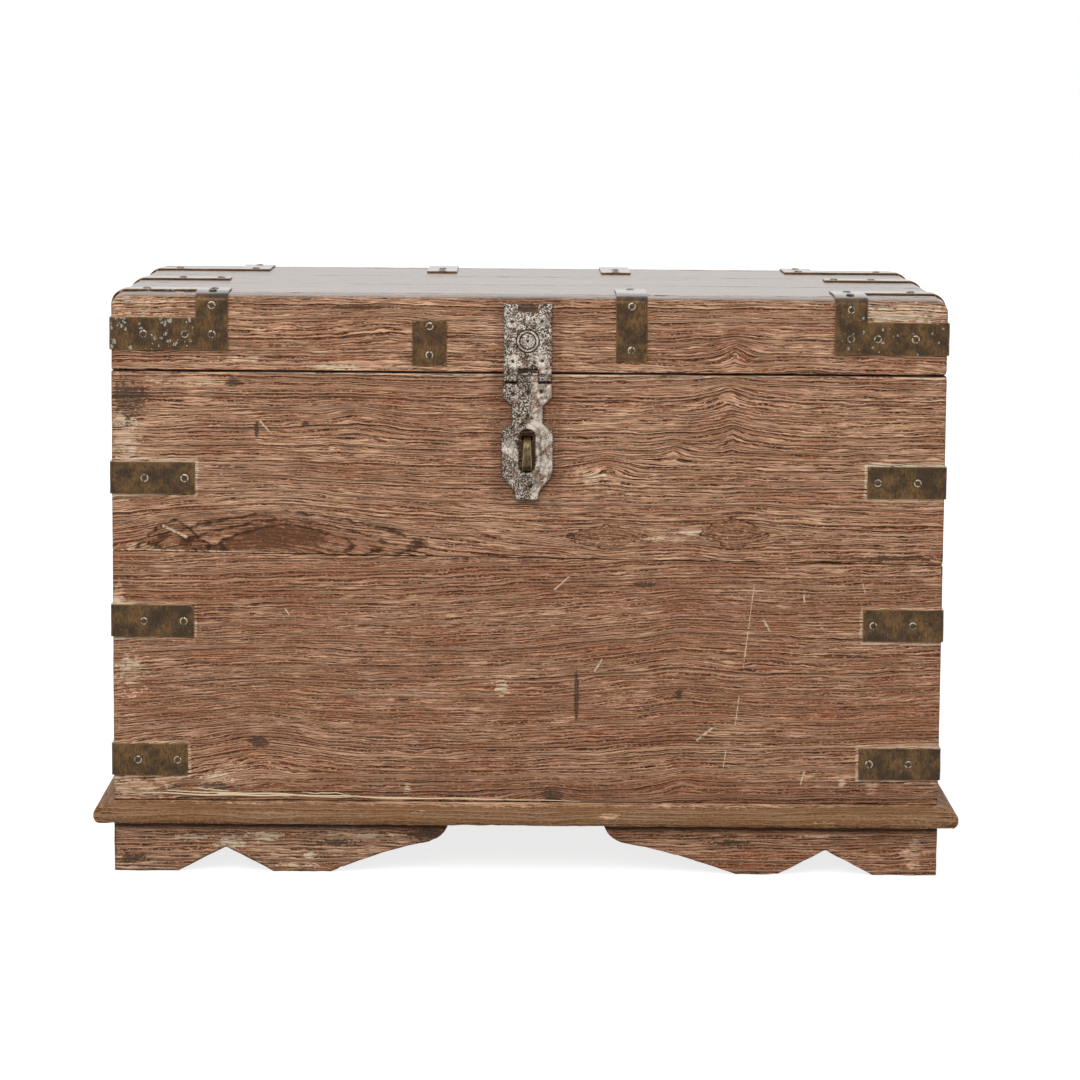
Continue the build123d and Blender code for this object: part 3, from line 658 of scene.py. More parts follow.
# Places on the front where the grain peaks, closes as an eye or winds round a knot, in millimetres on the
# front face: (x, z), reach along the grain, span across it, rise, how blunt it is each way, and 1 where the
# grain parts round it.
FIGURES = {
    "front_board_upper": (
        ((-285, 374), 120, 50, 36, 0.4, 0.5, 0), ((-386, 364), 34, 24, 14, 0.7, 0.8, 0),
        ((85, 380), 34, 14, 13, 0.7, 0.3, 1), ((229, 385), 30, 16, 15, 0.6, 0.3, 1),
        ((222, 545), 30, 10, 9, 0.1, 0.8, 0), ((225, 500), 26, 14, 12, 0.1, 0.8, 0),
        ((216, 533), 26, 8, 6, 0.1, 0.8, 0), ((88, 460), 24, 12, 9, 0.3, 0.8, 0),
        ((160, 478), 14, 8, 7, 0.2, 0.8, 0), ((-190, 510), 40, 14, 8, 0.3, 0.8, 0),
    ),
    "front_board_lower": (
        ((168, 270), 80, 50, 12, 0.2, 0.8, 0), ((-150, 300), 90, 30, -7, 0.6, 0.8, 0),
        ((30, 88), 16, 10, 12, 0.8, 0.5, 0), ((-295, 148), 70, 40, 16, 0.4, 0.8, 0),
        ((-300, 232), 90, 30, 6, 0.6, 0.8, 0), ((175, 105), 30, 10, 8, 0.3, 0.8, 0),
    ),
    "lid_front_rail": (
        ((226, 588), 16, 9, 12, 0.15, 0.8, 0), ((-165, 612), 60, 14, 10, 0.5, 0.8, 0),
        ((300, 570), 90, 12, 6, 0.4, 0.8, 0),
    ),
}
# Closed eyes of the grain: middle, radius along, radius across, share of russet wood inside, how ragged.
EYES = {
    "front_board_upper": (
        ((86, 380), 40, 13, 0.4, 1.0), ((227, 385), 36, 17, 0.4, 1.0), ((-268, 372), 148, 34, 0.12, 0.3),
        ((-268, 370), 112, 28, 0.25, 0.3), ((-268, 368), 74, 24, 0.1, 0.3),
        ((-392, 360), 40, 36, 0.1, 0.4), ((-392, 360), 24, 20, 0.2, 0.4),
    ),
}
# Scratches: start, end, width.
SCRATCHES = {
    "front_board_lower": (
        ((251, 328), (240, 234), 0.7), ((236, 203), (232, 169), 0.7), ((261, 290), (269, 276), 1.4),
        ((83, 243), (75, 230), 1.4), ((306, 317), (307, 309), 1.2), ((190, 153), (206, 166), 1.8),
        ((30, 321), (45, 335), 1.0), ((370, 334), (374, 320), 0.9), ((-269, 298), (-264, 290), 1.2),
        ((222, 140), (219, 120), 0.7), ((310, 118), (306, 104), 1.2),
    ),
    "front_board_upper": (
        ((-296, 506), (-284, 492), 1.2), ((-403, 389), (-378, 377), 2.2),
        ((-442, 362.5), (-255, 358.9), 1.3),
    ),
}
# Pale chips and patches: middle, radius along, radius across, how ragged.
PALE = {
    "front_board_lower": (
        ((-28, 213), 9, 10, 1.0), ((-133, 96), 5, 8, 0.9), ((-440, 92), 40, 16, 1.2),
        ((352, 106), 5, 6, 0.7), ((385, 100), 8, 8, 0.8), ((-345, 102), 16, 9, 1.1),
        ((-440, 222), 16, 22, 1.4), ((-455, 310), 8, 16, 1.4),
    ),
    "front_board_upper": (
        ((-218, 477), 5, 3, 0.4), ((-305, 365), 40, 5, 1.3), ((-330, 378), 16, 5, 1.5),
        ((-262, 374), 4, 14, 1.4), ((-235, 368), 16, 4, 1.5), ((-415, 367), 34, 3, 1.0),
        ((182, 385), 18, 3, 0.6), ((-380, 552), 60, 6, 1.2), ((-445, 500), 16, 60, 1.3),
        ((65, 450), 20, 10, 1.2), ((-330, 372), 36, 8, 1.1), ((-312, 368), 22, 6, 1.3),
        ((150, 378), 16, 3, 1.5),
    ),
    "foot_front_left": (
        ((-373, 39), 24, 4, 1.2), ((-330, 33), 15, 8, 1.4), ((-288, 41), 24, 5, 1.3),
        ((-241, 19), 7, 4, 0.8), ((-252, 8), 24, 3, 1.0), ((-165, 42), 30, 2, 1.0),
    ),
    "foot_front_right": (
        ((432, 24), 10, 16, 1.3), ((330, 44), 20, 2, 1.0), ((250, 40), 26, 2, 1.1),
    ),
    "plinth_front": (
        ((93, 70), 12, 3.5, 0.6), ((-118, 73), 12, 1.6, 0.6), ((-130, 80), 60, 1.5, 0.8),
        ((0, 81), 480, 4.0, 0.5), ((190, 80), 70, 1.2, 0.9), ((330, 64), 14, 1.5, 0.8),
    ),
    "lid_front_rail": (
        ((-430, 632), 60, 12, 1.0), ((-215, 566), 30, 5, 1.2), ((-320, 573), 30, 4, 1.1),
        ((400, 629), 60, 14, 1.0),
    ),
}
# Dark places, the same way.
DARK = {
    "front_board_lower": (
        ((129, 327), 11, 3, 0.7), ((55, 203), 3, 34, 0.3), ((29, 90), 14, 9, 0.3),
        ((-345, 96), 14, 7, 0.8), ((-300, 148), 12, 7, 0.9), ((168, 205), 5, 5, 0.9),
    ),
    "front_board_upper": (
        ((-280, 377), 52, 16, 0.7), ((-245, 376), 24, 14, 0.8), ((-320, 370), 22, 9, 0.9),
        ((-352, 364), 16, 6, 0.8), ((-378, 372), 10, 6, 0.6), ((-326, 548), 8, 6, 0.8),
        ((-441, 530), 20, 22, 1.2), ((400, 358), 50, 3, 0.8), ((-1, 475), 11, 27, 0.2),
        ((-300, 498), 3, 9, 0.5), ((-247, 503), 4, 4, 0.9),
    ),
    "foot_front_left": (
        ((-440, 14), 16, 5, 1.6), ((-215, 34), 26, 4, 1.2), ((-110, 44), 24, 8, 1.0),
    ),
    "foot_front_right": (
        ((225, 36), 24, 4, 1.4),
    ),
    "lid_front_rail": (
        # On the lid rail the first two are painted shade: in the slit of the hasp plate and in the notch at
        # the top of the rail.
        ((-2, 564), 14, 3, 0.1), ((-3, 633), 13, 6, 0.2), ((-190, 632), 40, 2, 0.8),
    ),
}


# The looks of the boards: how the grain runs, how much lime, dirt and wear lies on it, and how it shines.
PLAIN_LOOK = {
    "slope": 0.0, "wander": 14.0, "ring_width": 20.0, "lines": 0.9, "lime": 0.42, "rims": 0.7, "chips": 0.6,
    "edge_dirt": 0.0, "weathering": 0.3, "wear": 0.35, "gloss": 0.12, "wax": 0.0, "roughness": 1.0,
    "relief": 0.0008, "tones": ("heart", "russet", "weathered"),
}
# Darkening round a neighbour: painted shade under the plinth on the feet, painted contact shade with some
# iron stain round the hasp, and darker wood towards the plinth on the lower front board. Each gives the
# neighbour, how wide in millimetres, how dark.
SHADE_AND_GRIME_NEAR = {
    "front_board_upper": (("hasp_leaf", 12.0, 0.25),),
    "front_board_lower": (("plinth_front", 26.0, 0.22),),
    "lid_front_rail": (("hasp_plate", 12.0, 0.25),),
}
SHADE_AND_GRIME_NEAR.update({name: (("plinth_front", 8.0, 0.75),) for name in NODES if name.startswith("foot_front")})
AMBER = ("amber", "russet", "weathered")
# The lid top: polished and waxed, with its colour painted grey as the sheen it shows.
POLISHED_GREY_SHEEN = {"gloss": 0.25, "wax": 0.6, "roughness": 0.6, "relief": 0.0002, "lime": -0.1, "lines": 0.5,
            "weathering": 1.0, "rims": 0.0, "chips": 0.0, "tones": ("bleached", "weathered", "bleached")}
PLAIN_MOULDING = {"lime": -0.45, "lines": 0.35, "ring_width": 26.0, "weathering": 0.3, "wear": 0.5,
                  "chips": 1.0, "tones": ("olive", "olive", "weathered")}
LOOKS = {
    "front_board_upper": {"wander": 12.0, "lines": 1.0, "weathering": 0.1, "tones": AMBER},
    "front_board_lower": {"slope": -0.03, "wander": 16.0, "ring_width": 18.0, "weathering": 0.2,
                          "chips": 0.8, "lime": 0.26, "tones": AMBER},
    "lid_front_rail": {"ring_width": 18.0, "lime": -0.25, "lines": 1.0, "weathering": 0.1, "wander": 10.0,
                       "chips": 1.3, "tones": AMBER},
    "foot_front_left": {"lime": 0.45, "weathering": 0.8, "wear": 0.1, "edge_dirt": 0.7, "chips": 0.9},
    "foot_front_right": {"lime": 0.3, "weathering": 0.1, "wear": 0.2, "edge_dirt": 0.3, "chips": 0.7,
                         "tones": AMBER},
}
LOOKS.update({name: PLAIN_MOULDING for name in NODES if name.startswith("plinth_")})
STRAPS = ("corner_strap", "lid_corner", "lid_end_strap", "lid_front_plate", "lid_front_strap")
HINGE_LEAVES = ("hinge_lid", "hinge_body")


def nodes_starting(*starts):
    return sorted(name for name in NODES if name.startswith(starts))


def on_face(place):
    """A place on the front face as (along, across, into) in millimetres."""
    return (*place, FRONT_MM)


def touching_straps(node):
    """The straps, and the front rail of the lid, that lie against a board."""
    low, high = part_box(node)
    found = []
    for name in nodes_starting("lid_front_rail", *STRAPS, *HINGE_LEAVES):
        strap_low, strap_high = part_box(name)
        if all(strap_low[i] <= high[i] + TOUCH and strap_high[i] >= low[i] - TOUCH for i in range(3)):
            found.append(name)
    return found


def blotches(sheet, position, marks):
    """The greatest of some ragged patches at each place."""
    return strongest(
        blotch(sheet, position, on_face(place), (along, across, 1.0), ragged)
        for place, along, across, ragged in marks
    )


def timber_finish(node, number, other_look=None):
    """The finish of one board, or of the faces of it that have another look, such as the lid top painted
    grey as its sheen.
    """
    timber = bpy.context.scene.chest_timber
    finish, sheet, shader = new_finish(("bleached_" if other_look else "timber_") + node)
    position = place_in_mm(sheet, grain_order(node))
    world = place_in_mm(sheet)
    look = dict(PLAIN_LOOK, **(other_look or LOOKS.get(node, {})))
    heart, russet, weathered = (getattr(timber, tone)[:] for tone in look["tones"])
    late, lime, chalk = timber.late[:], timber.lime[:], timber.chalk[:]
    lift = sum(figure(sheet, position, on_face(place), *shape) for place, *shape in FIGURES.get(node, ()))
    case = outer_shell(sheet, world, CASE_MM)
    worn = wear(sheet, position, 3.0, 1.0)

    legs = [leg for strap in touching_straps(node) for leg in strap_legs(strap)]
    rim = strongest(halo(sheet, world, *leg, 3.5) for leg in legs) * look["rims"]
    chalky = blotches(sheet, position, PALE.get(node, ())) * look["chips"]
    amount = (strongest((rim, chalky)) * case | worn * look["wear"]) + look["lime"]
    # Dark marks, dirt and the painted shade round the neighbours, all in one mask.
    dirt = blotches(sheet, position, DARK.get(node, ())) * 0.95
    for neighbour, width, depth in SHADE_AND_GRIME_NEAR.get(node, ()):
        dirt = dirt | halo(sheet, world, *middle_and_half(*box_in_mm(neighbour)), width) * depth
    # Darker along the arrises, by each board's share.
    dirt = (dirt | worn * look["edge_dirt"]) * case

    shape = (look[key] for key in ("slope", "wander", "ring_width", "lines"))
    base, roughness, height = limed_grain(
        sheet, position, lift, float(number), *shape, amount, look["weathering"], dirt,
        heart, russet, weathered, late, lime, timber.grime[:], chalk,
    )
    for place, along, across, share, ragged in EYES.get(node, ()):
        inside, edge = grain_eye(sheet, position, on_face(place), (along, across, 1.0), ragged)
        crumbs = position.noise((3.2, 1.8, 4), 3.0, 0.65)
        speckled = (crumbs.ramp(0.5, 0.38, 0.0, ragged), late), (crumbs.ramp(0.55, 0.64, 0.0, ragged), lime)
        broken = position.noise((16, 8, 8), 3.0).ramp(0.36, 0.52, 0.2, 0.85)
        fill = sheet.coats(timber.russet[:], *speckled)
        base = sheet.coats(base, (inside * case * share, fill), (edge * broken * case, late))
    for start, end, width in SCRATCHES.get(node, ()):
        mask = scratch(sheet, position, on_face(start), on_face(end), width)
        base = sheet.mix(mask * case * 0.85, base, chalk)
    # Painted shade darkens the seam between the lid and the body.
    seam = shaded_seam(sheet, world.parts()[2], SEAM_MM)
    base = sheet.mix(seam * case * 0.9, base, timber.crevice[:])
    paint(sheet, shader, (height, look["relief"]), base_color=base, roughness=roughness * look["roughness"],
          specular_ior_level=look["gloss"], coat_weight=look["wax"], coat_roughness=0.22)
    return finish


# ---------------------------------------------------------------- meshes


def sharp_edges(mesh, degrees):
    """The edges where the faces turn by more than some degrees."""
    least = math.radians(degrees)
    return [edge for edge in mesh.edges if len(edge.link_faces) == 2 and edge.calc_face_angle(0.0) > least]


def distance_to(points, segments):
    """Distance from each point to the nearest of some line segments."""
    nearest = np.full(len(points), 1.0)
    for start, end in segments:
        run = end - start
        done = np.clip((points - start) @ run / max(run @ run, 1e-12), 0, 1)
        nearest = np.minimum(nearest, np.linalg.norm(points - start - done[:, None] * run, axis=1))
    return nearest


def from_nothing_to_all(value):
    return min(1.0, max(0.0, value))


def ease_lid_front(mesh):
    """Lets the lid top, and what is bent over it, fall a little towards the front arris."""
    timber = bpy.context.scene.chest_timber
    rail_low, rail_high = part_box("lid_front_rail")
    for vertex in mesh.verts:
        back = from_nothing_to_all((vertex.co.y - rail_low.y) / timber.lid_run)
        up = from_nothing_to_all((vertex.co.z - rail_high.z + 0.022) / 0.018)
        vertex.co.z -= timber.lid_fall * (1 - back) ** 2 * up


def lid_front_cuts(axis):
    """Extra cuts that let the front of the lid top bend."""
    rail_low, rail_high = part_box("lid_front_rail")
    if axis == 1:
        run = bpy.context.scene.chest_timber.lid_run
        return [rail_low.y + run * part for part in (0.1, 0.25, 0.4, 0.6, 0.8, 1.0)]
    return [rail_high.z - step for step in (0.004, 0.01, 0.016, 0.022)] if axis == 2 else []


def cut_along(mesh, axis, places):
    """Cuts the whole mesh by planes square to one axis."""
    normal = Vector([float(i == axis) for i in range(3)])
    for place in places:
        everything = mesh.verts[:] + mesh.edges[:] + mesh.faces[:]
        bmesh.ops.bisect_plane(mesh, geom=everything, dist=1e-6, plane_co=normal * place, plane_no=normal)


def cut_places(low, high, cell, margins):
    """Places of the cuts between two ends: a few near each end, then one for each cell."""
    count = max(1, round((high - low) / cell))
    inner = [low + (high - low) * i / count for i in range(1, count)]
    near = [low + margin for margin in margins] + [high - margin for margin in margins]
    inner = [place for place in inner if min(place - low, high - place) > max(margins, default=0) * 1.4]
    return sorted(set(near + inner))


def cut_copy(node, arris, cells, rounded=50, marked=28, steps=2, margins=(), bends=False):
    """The node's solid as a mesh with rounded arrises, cut into cells, and the ends of its arrises.

    cells has the axes in the order that they are cut in, with the size of a cell along each. rounded
    and marked are how many degrees the faces turn at an edge that is rounded, or counted as an arris.
    """
    mesh = bmesh.new()
    mesh.from_mesh(NODES[node].data)
    bmesh.ops.remove_doubles(mesh, verts=mesh.verts[:], dist=WELD)
    bmesh.ops.dissolve_limit(
        mesh, angle_limit=math.radians(0.5), verts=mesh.verts[:], edges=mesh.edges[:], delimit=set()
    )
    ends = [[vertex.co[:] for vertex in edge.verts] for edge in sharp_edges(mesh, marked)]
    bmesh.ops.bevel(mesh, geom=sharp_edges(mesh, rounded), offset=arris, segments=steps, profile=0.5,
                    affect="EDGES", clamp_overlap=True)
    low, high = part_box(node)
    for axis, cell in cells:
        cut_along(mesh, axis, cut_places(low[axis], high[axis], cell, margins))
        if bends:
            cut_along(mesh, axis, lid_front_cuts(axis))
    return mesh, np.array(ends)


def mark_arrises(mesh, segments):
    """Gives every vertex its distance to the nearest arris. Returns those distances in metres."""
    away = distance_to(np.array([vertex.co[:] for vertex in mesh.verts]), segments)
    layer = mesh.verts.layers.float.new("arris_mm")
    for vertex, gap in zip(mesh.verts, away):
        vertex[layer] = gap / MM
    return away


def finish_piece(mesh, name, finishes, smooth=35):
    """Turns an edited mesh into an object with smooth faces and sharp creases."""
    bmesh.ops.recalc_face_normals(mesh, faces=mesh.faces[:])
    data = bpy.data.meshes.new(name)
    mesh.to_mesh(data)
    mesh.free()
    data.polygons.foreach_set("use_smooth", [True] * len(data.polygons))
    data.set_sharp_from_angle(angle=math.radians(smooth))
    for finish in finishes:
        data.materials.append(finish)
    piece = bpy.data.objects.new(name, data)
    bpy.context.scene.collection.objects.link(piece)
    return piece


def dress(piece, *nodes):
    """Makes a piece stand for its nodes: it rides on the same body, and their solids are hidden."""
    body = NODES[nodes[0]]["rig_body"]
    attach(piece, body)
    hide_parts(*nodes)
    return piece


# How far from an arris the wear reaches, how far below the top of the lid a face still counts as its
# top, and the cuts near the ends of a board.
RUB_REACH = 0.0035
TOP_BAND = 0.012
END_CUTS = (0.0025, 0.0055)
# How much shorter the carver cut the flat of the inner lobe, in millimetres, and where the flat lies.
LOBE_TRIM = {"foot_front_left": 6.0, "foot_front_right": 23.0}
LOBE_SPAN_MM = (178.0, 248.0)
SLOPE_TOP_MM = 35.0


def trim_lobe(mesh, node):
    """Moves the inner end of the lobe's flat outward and pulls the slope behind it along."""
    outer = abs(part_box("front_board_upper")[0].x) / MM
    start, end = LOBE_SPAN_MM
    for vertex in mesh.verts:
        inward = outer - abs(vertex.co.x) / MM
        done = from_nothing_to_all((inward - start) / (end - start))
        low = max(0.0, 1 - vertex.co.z / MM / SLOPE_TOP_MM)
        vertex.co.x += math.copysign(LOBE_TRIM[node] * done * low * MM, vertex.co.x)


def worn_board(node, number):
    """A board with rubbed arrises and hand-planed faces, in the place of its solid."""
    timber = bpy.context.scene.chest_timber
    axes = ["xyz".index(axis) for axis in grain_order(node)]
    cells = zip(axes, (timber.along_cell, timber.across_cell, timber.across_cell))
    front_rail = node == "lid_front_rail"
    mesh, segments = cut_copy(node, timber.arris, cells, rounded=28, margins=END_CUTS, bends=front_rail)
    away = mark_arrises(mesh, segments)
    if node in LOBE_TRIM:
        trim_lobe(mesh, node)
    if front_rail:
        ease_lid_front(mesh)
    mesh.normal_update()
    stretch = ((26, 90, 60), (60, 26, 60))[axes[0]]
    for vertex, gap in zip(mesh.verts, away):
        spot = Vector([vertex.co[i] / MM / stretch[i] * (1 if i != 2 else 2) for i in range(3)])
        spot += Vector((number * 3.1, number * 1.7, number * 0.9))
        wave = noise.noise(spot) * timber.undulation
        nick = max(0.0, noise.noise(vertex.co * 55 + Vector((number, 0, 0))) + 0.25) * timber.wear_depth
        chip = max(0.0, noise.noise(vertex.co * 120 + Vector((0, number, 0))) - 0.25) * timber.wear_depth * 3
        rub = (nick + chip) * math.exp(-((gap / RUB_REACH) ** 2))
        vertex.co += vertex.normal * (wave - rub - timber.undulation)
    finishes = [timber_finish(node, number)]
    # The top faces of the lid get a second finish, painted grey as their sheen.
    if node.startswith("lid_"):
        finishes.append(timber_finish(node, number, POLISHED_GREY_SHEEN))
        for face in mesh.faces:
            on_top = face.calc_center_median().z > CASE_MM.z * MM - TOP_BAND
            face.material_index = int(on_top and face.normal.z > 0.75)
    return dress(finish_piece(mesh, "worn_" + node, finishes), node)


# Fibres that stand proud along the foot of the front: start and end (x, z), thickness, in millimetres.
SPLIT_FIBRES = (
    ((-428, 88.5), (-190, 85.5), 1.5),
    ((-400, 91.5), (-262, 85.0), 1.2),
    ((-352, 90.5), (-120, 83.4), 1.4),
    ((-300, 88.6), (-40, 83.2), 1.1),
    ((-372, 94.5), (-330, 91.5), 1.0),
    ((-250, 91.0), (-196, 89.0), 0.9),
    ((-160, 86.0), (60, 82.8), 0.9),
)


def split_fibres():
    """Thin pale slivers that have come loose from the bottom edge of the front."""
    mesh = bmesh.new()
    steps = 36
    for number, (start, end, thick) in enumerate(SPLIT_FIBRES):
        rows = []
        for step in range(steps + 1):
            run = step / steps
            wave = noise.noise(Vector((run * 5, number * 7.1, 0))) * 1.6
            x = start[0] + (end[0] - start[0]) * run
            z = start[1] + (end[1] - start[1]) * run + wave
            half = thick * MM * 0.7 * (0.15 + 0.85 * math.sin(math.pi * min(1.0, run * 0.9 + 0.08)) ** 0.5)
            middle = Vector((x * MM, FRONT_MM * MM - half * 0.7, z * MM))
            corners = (Vector((0, depth, up)) for up, depth in ((-1.0, 0), (0, -1.3), (1.0, 0), (0, 1.0)))
            rows.append([mesh.verts.new(middle + corner * half) for corner in corners])
        for first, second in zip(rows, rows[1:]):
            for corner in range(4):
                after = (corner + 1) % 4
                mesh.faces.new((first[corner], second[corner], second[after], first[after]))
        mesh.faces.new(rows[0])
        mesh.faces.new(list(reversed(rows[-1])))
    finish, sheet, shader = new_finish("pale_split_wood")
    timber = bpy.context.scene.chest_timber
    shade = place_in_mm(sheet).noise((14, 3, 2), 2.0, 0.6).ramp(0.24, 0.42)
    paint(sheet, shader, base_color=sheet.mix(shade, timber.heart[:], timber.splinter[:]), roughness=0.8,
          specular_ior_level=0.1)
    piece = finish_piece(mesh, "split_fibres_front", [finish], smooth=60)
    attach(piece, NODES["front_board_lower"]["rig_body"])
    return piece


def worn_boards(nodes, first_number):
    """Worn boards in the place of some nodes, each with its own number."""
    for number, node in enumerate(nodes):
        worn_board(node, first_number + number)
    return {"FINISHED"}


class CHEST_OT_body_boards(bpy.types.Operator):
    """Make the worn wall and bottom boards"""

    bl_idname = "chest.body_boards"
    bl_label = "Body boards"

    def execute(self, context):
        walls = ("front_board", "back_board", "left_end_board", "right_end_board")
        nodes = [f"{wall}_{level}" for wall in walls for level in ("upper", "lower")]
        worn_boards(nodes + ["bottom_board_1", "bottom_board_2"], 0)
        split_fibres()
        return {"FINISHED"}


class CHEST_OT_plinth(bpy.types.Operator):
    """Make the worn plinth moulding"""

    bl_idname = "chest.plinth"
    bl_label = "Plinth"

    def execute(self, context):
        return worn_boards(nodes_starting("plinth_"), 20)


class CHEST_OT_feet(bpy.types.Operator):
    """Make the worn bracket feet"""

    bl_idname = "chest.feet"
    bl_label = "Feet"

    def execute(self, context):
        return worn_boards(nodes_starting("foot_"), 30)


class CHEST_OT_lid_boards(bpy.types.Operator):
    """Make the worn rails and top boards of the lid"""

    bl_idname = "chest.lid_boards"
    bl_label = "Lid boards"

    def execute(self, context):
        rails = [f"lid_{side}_rail" for side in ("front", "back", "left", "right")]
        return worn_boards(rails + nodes_starting("lid_top_board"), 40)


# ---------------------------------------------------------------- metal


def brass_finish(name, seed, specks, spotted_to=None):
    """Old strap brass. spotted_to is the x in millimetres where the pale specks end."""
    metal = bpy.context.scene.chest_metal
    finish, sheet, shader = new_finish(name)
    place = place_in_mm(sheet)
    if spotted_to is not None:
        specks = place.parts()[0].to("LESS_THAN", spotted_to) * (specks - 0.2) + 0.2
    normal = Wire(sheet, sheet.add("ShaderNodeNewGeometry").outputs["Normal"])
    base, roughness, metallic, height, coat = brass_patina(
        sheet, place, metal.brass[:], metal.patina[:], metal.verdigris[:], specks, seed,
        wear(sheet, place, 1.0, 0.1), normal.parts()[2],
    )
    paint(sheet, shader, (height, 0.00025), base_color=base, roughness=roughness, metallic=metallic,
          coat_weight=coat, coat_roughness=0.2)
    return finish


# Where the knuckles of the hasp part, painted as dark lines of shade, in millimetres: from x, to x, height.
KNUCKLE_GAPS = ((-28, -14.5, 551.4), (10.5, 25, 551.4), (-11.5, 8.5, 562.8))


def iron_finish(name, lime, dark=(), pale=(), smooth_from=None):
    """Pitted iron with lime rubbed in, and painted shade in the knuckle gaps and along the arrises. dark and
    pale are its ring marks, on the hasp's front.
    """
    metal = bpy.context.scene.chest_metal
    finish, sheet, shader = new_finish(name)
    place = place_in_mm(sheet)
    flat = place_in_mm(sheet, "xzy")
    cuts, chalky = (
        [ring(sheet, place, (x, 0.0, z), radius, width) for (x, z), radius, width in marks]
        for marks in (dark, pale)
    )
    cuts += [scratch(sheet, flat, (left, z, 0), (right, z, 0), 2.2) for left, right, z in KNUCKLE_GAPS]
    # A thin dark line along every arris: painted shade.
    cut = strongest([*cuts, sheet.carried("arris_mm").ramp(0.3, 1.2, 0.45, 0.0)])
    chalky = strongest(chalky)
    smooth = 0.0
    if smooth_from is not None:
        smooth = place.parts()[0].ramp(smooth_from - 4, smooth_from + 6)
    base, roughness, metallic, height = pitted_iron(
        sheet, place, metal.iron[:], metal.iron_lime[:], metal.rust[:], chalky * 0.5 + lime, smooth
    )
    base = sheet.coats(base, (chalky * 0.35, metal.iron_lime[:]), (cut * 0.9, metal.hole[:]))
    paint(sheet, shader, (height - cut * 1.5, 0.0006), base_color=base, roughness=roughness,
          metallic=metallic, specular_ior_level=0.15)
    return finish


def islands(mesh):
    """The places of the vertices of every separate solid in a mesh."""
    seen = set()
    for first in mesh.verts:
        if first.index in seen:
            continue
        island, reached = [], [first]
        seen.add(first.index)
        while reached:
            vertex = reached.pop()
            island.append(vertex.co.copy())
            for edge in vertex.link_edges:
                other = edge.other_vert(vertex)
                if other.index not in seen:
                    seen.add(other.index)
                    reached.append(other)
        yield island


def screw_places(node):
    """Base, outward direction, radius and rise of every screw head in a node."""
    mesh = bmesh.new()
    mesh.from_mesh(NODES[node].data)
    bmesh.ops.remove_doubles(mesh, verts=mesh.verts[:], dist=WELD)
    places = []
    for island in islands(mesh):
        low = Vector([min(place[i] for place in island) for i in range(3)])
        high = Vector([max(place[i] for place in island) for i in range(3)])
        base, size = (low + high) / 2, high - low
        axis = min(range(3), key=lambda i: size[i])
        towards = 1.0 if axis == 2 or base[axis] > 0 else -1.0
        base[axis] = low[axis] if towards > 0 else high[axis]
        out = Vector((0, 0, 0))
        out[axis] = towards
        places.append((base, out, max(size) / 2, size[axis]))
    mesh.free()
    return places


SCREWS = {name: screw_places(name) for name in ("body_screws", "lid_screws")}


# Rounding of the edges and size of the mesh cells of each metal, and the dimple round a screw.
STRAP_EDGE, STRAP_CELL = 0.00035, 0.0045
IRON_EDGE, IRON_CELL = 0.0004, 0.0014
STAPLE_EDGE, STAPLE_CELL = 0.0011, 0.0022
DIMPLE_REACH = 0.006
NEAR_STRAP = 0.003


def strap_piece(node, number, specks, spotted_to):
    """A strap with soft edges, hammer dents and a dimple under each screw."""
    metal = bpy.context.scene.chest_metal
    over_arris = node.startswith(("lid_corner_bracket_front", "lid_front_strap"))
    mesh, segments = cut_copy(node, STRAP_EDGE, [(axis, STRAP_CELL) for axis in range(3)], bends=over_arris)
    if over_arris:
        ease_lid_front(mesh)
    mesh.normal_update()
    low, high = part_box(node)
    near = [base for places in SCREWS.values() for base, *_ in places
            if all(low[i] - NEAR_STRAP < base[i] < high[i] + NEAR_STRAP for i in range(3))]
    mark_arrises(mesh, segments)
    for vertex in mesh.verts:
        dent = noise.noise(vertex.co * 70 + Vector((number * 2.3, 0, 0))) * metal.dent
        dent += noise.noise(vertex.co * 210 + Vector((0, number * 2.3, 0))) * metal.dent * 0.4
        for base in near:
            dent -= metal.dimple * math.exp(-(((vertex.co - base).length / DIMPLE_REACH) ** 2))
        vertex.co += vertex.normal * (dent - metal.dent * 0.5)
    finish = brass_finish("brass_" + node, float(number), specks, spotted_to)
    return dress(finish_piece(mesh, "hammered_" + node, [finish]), node)


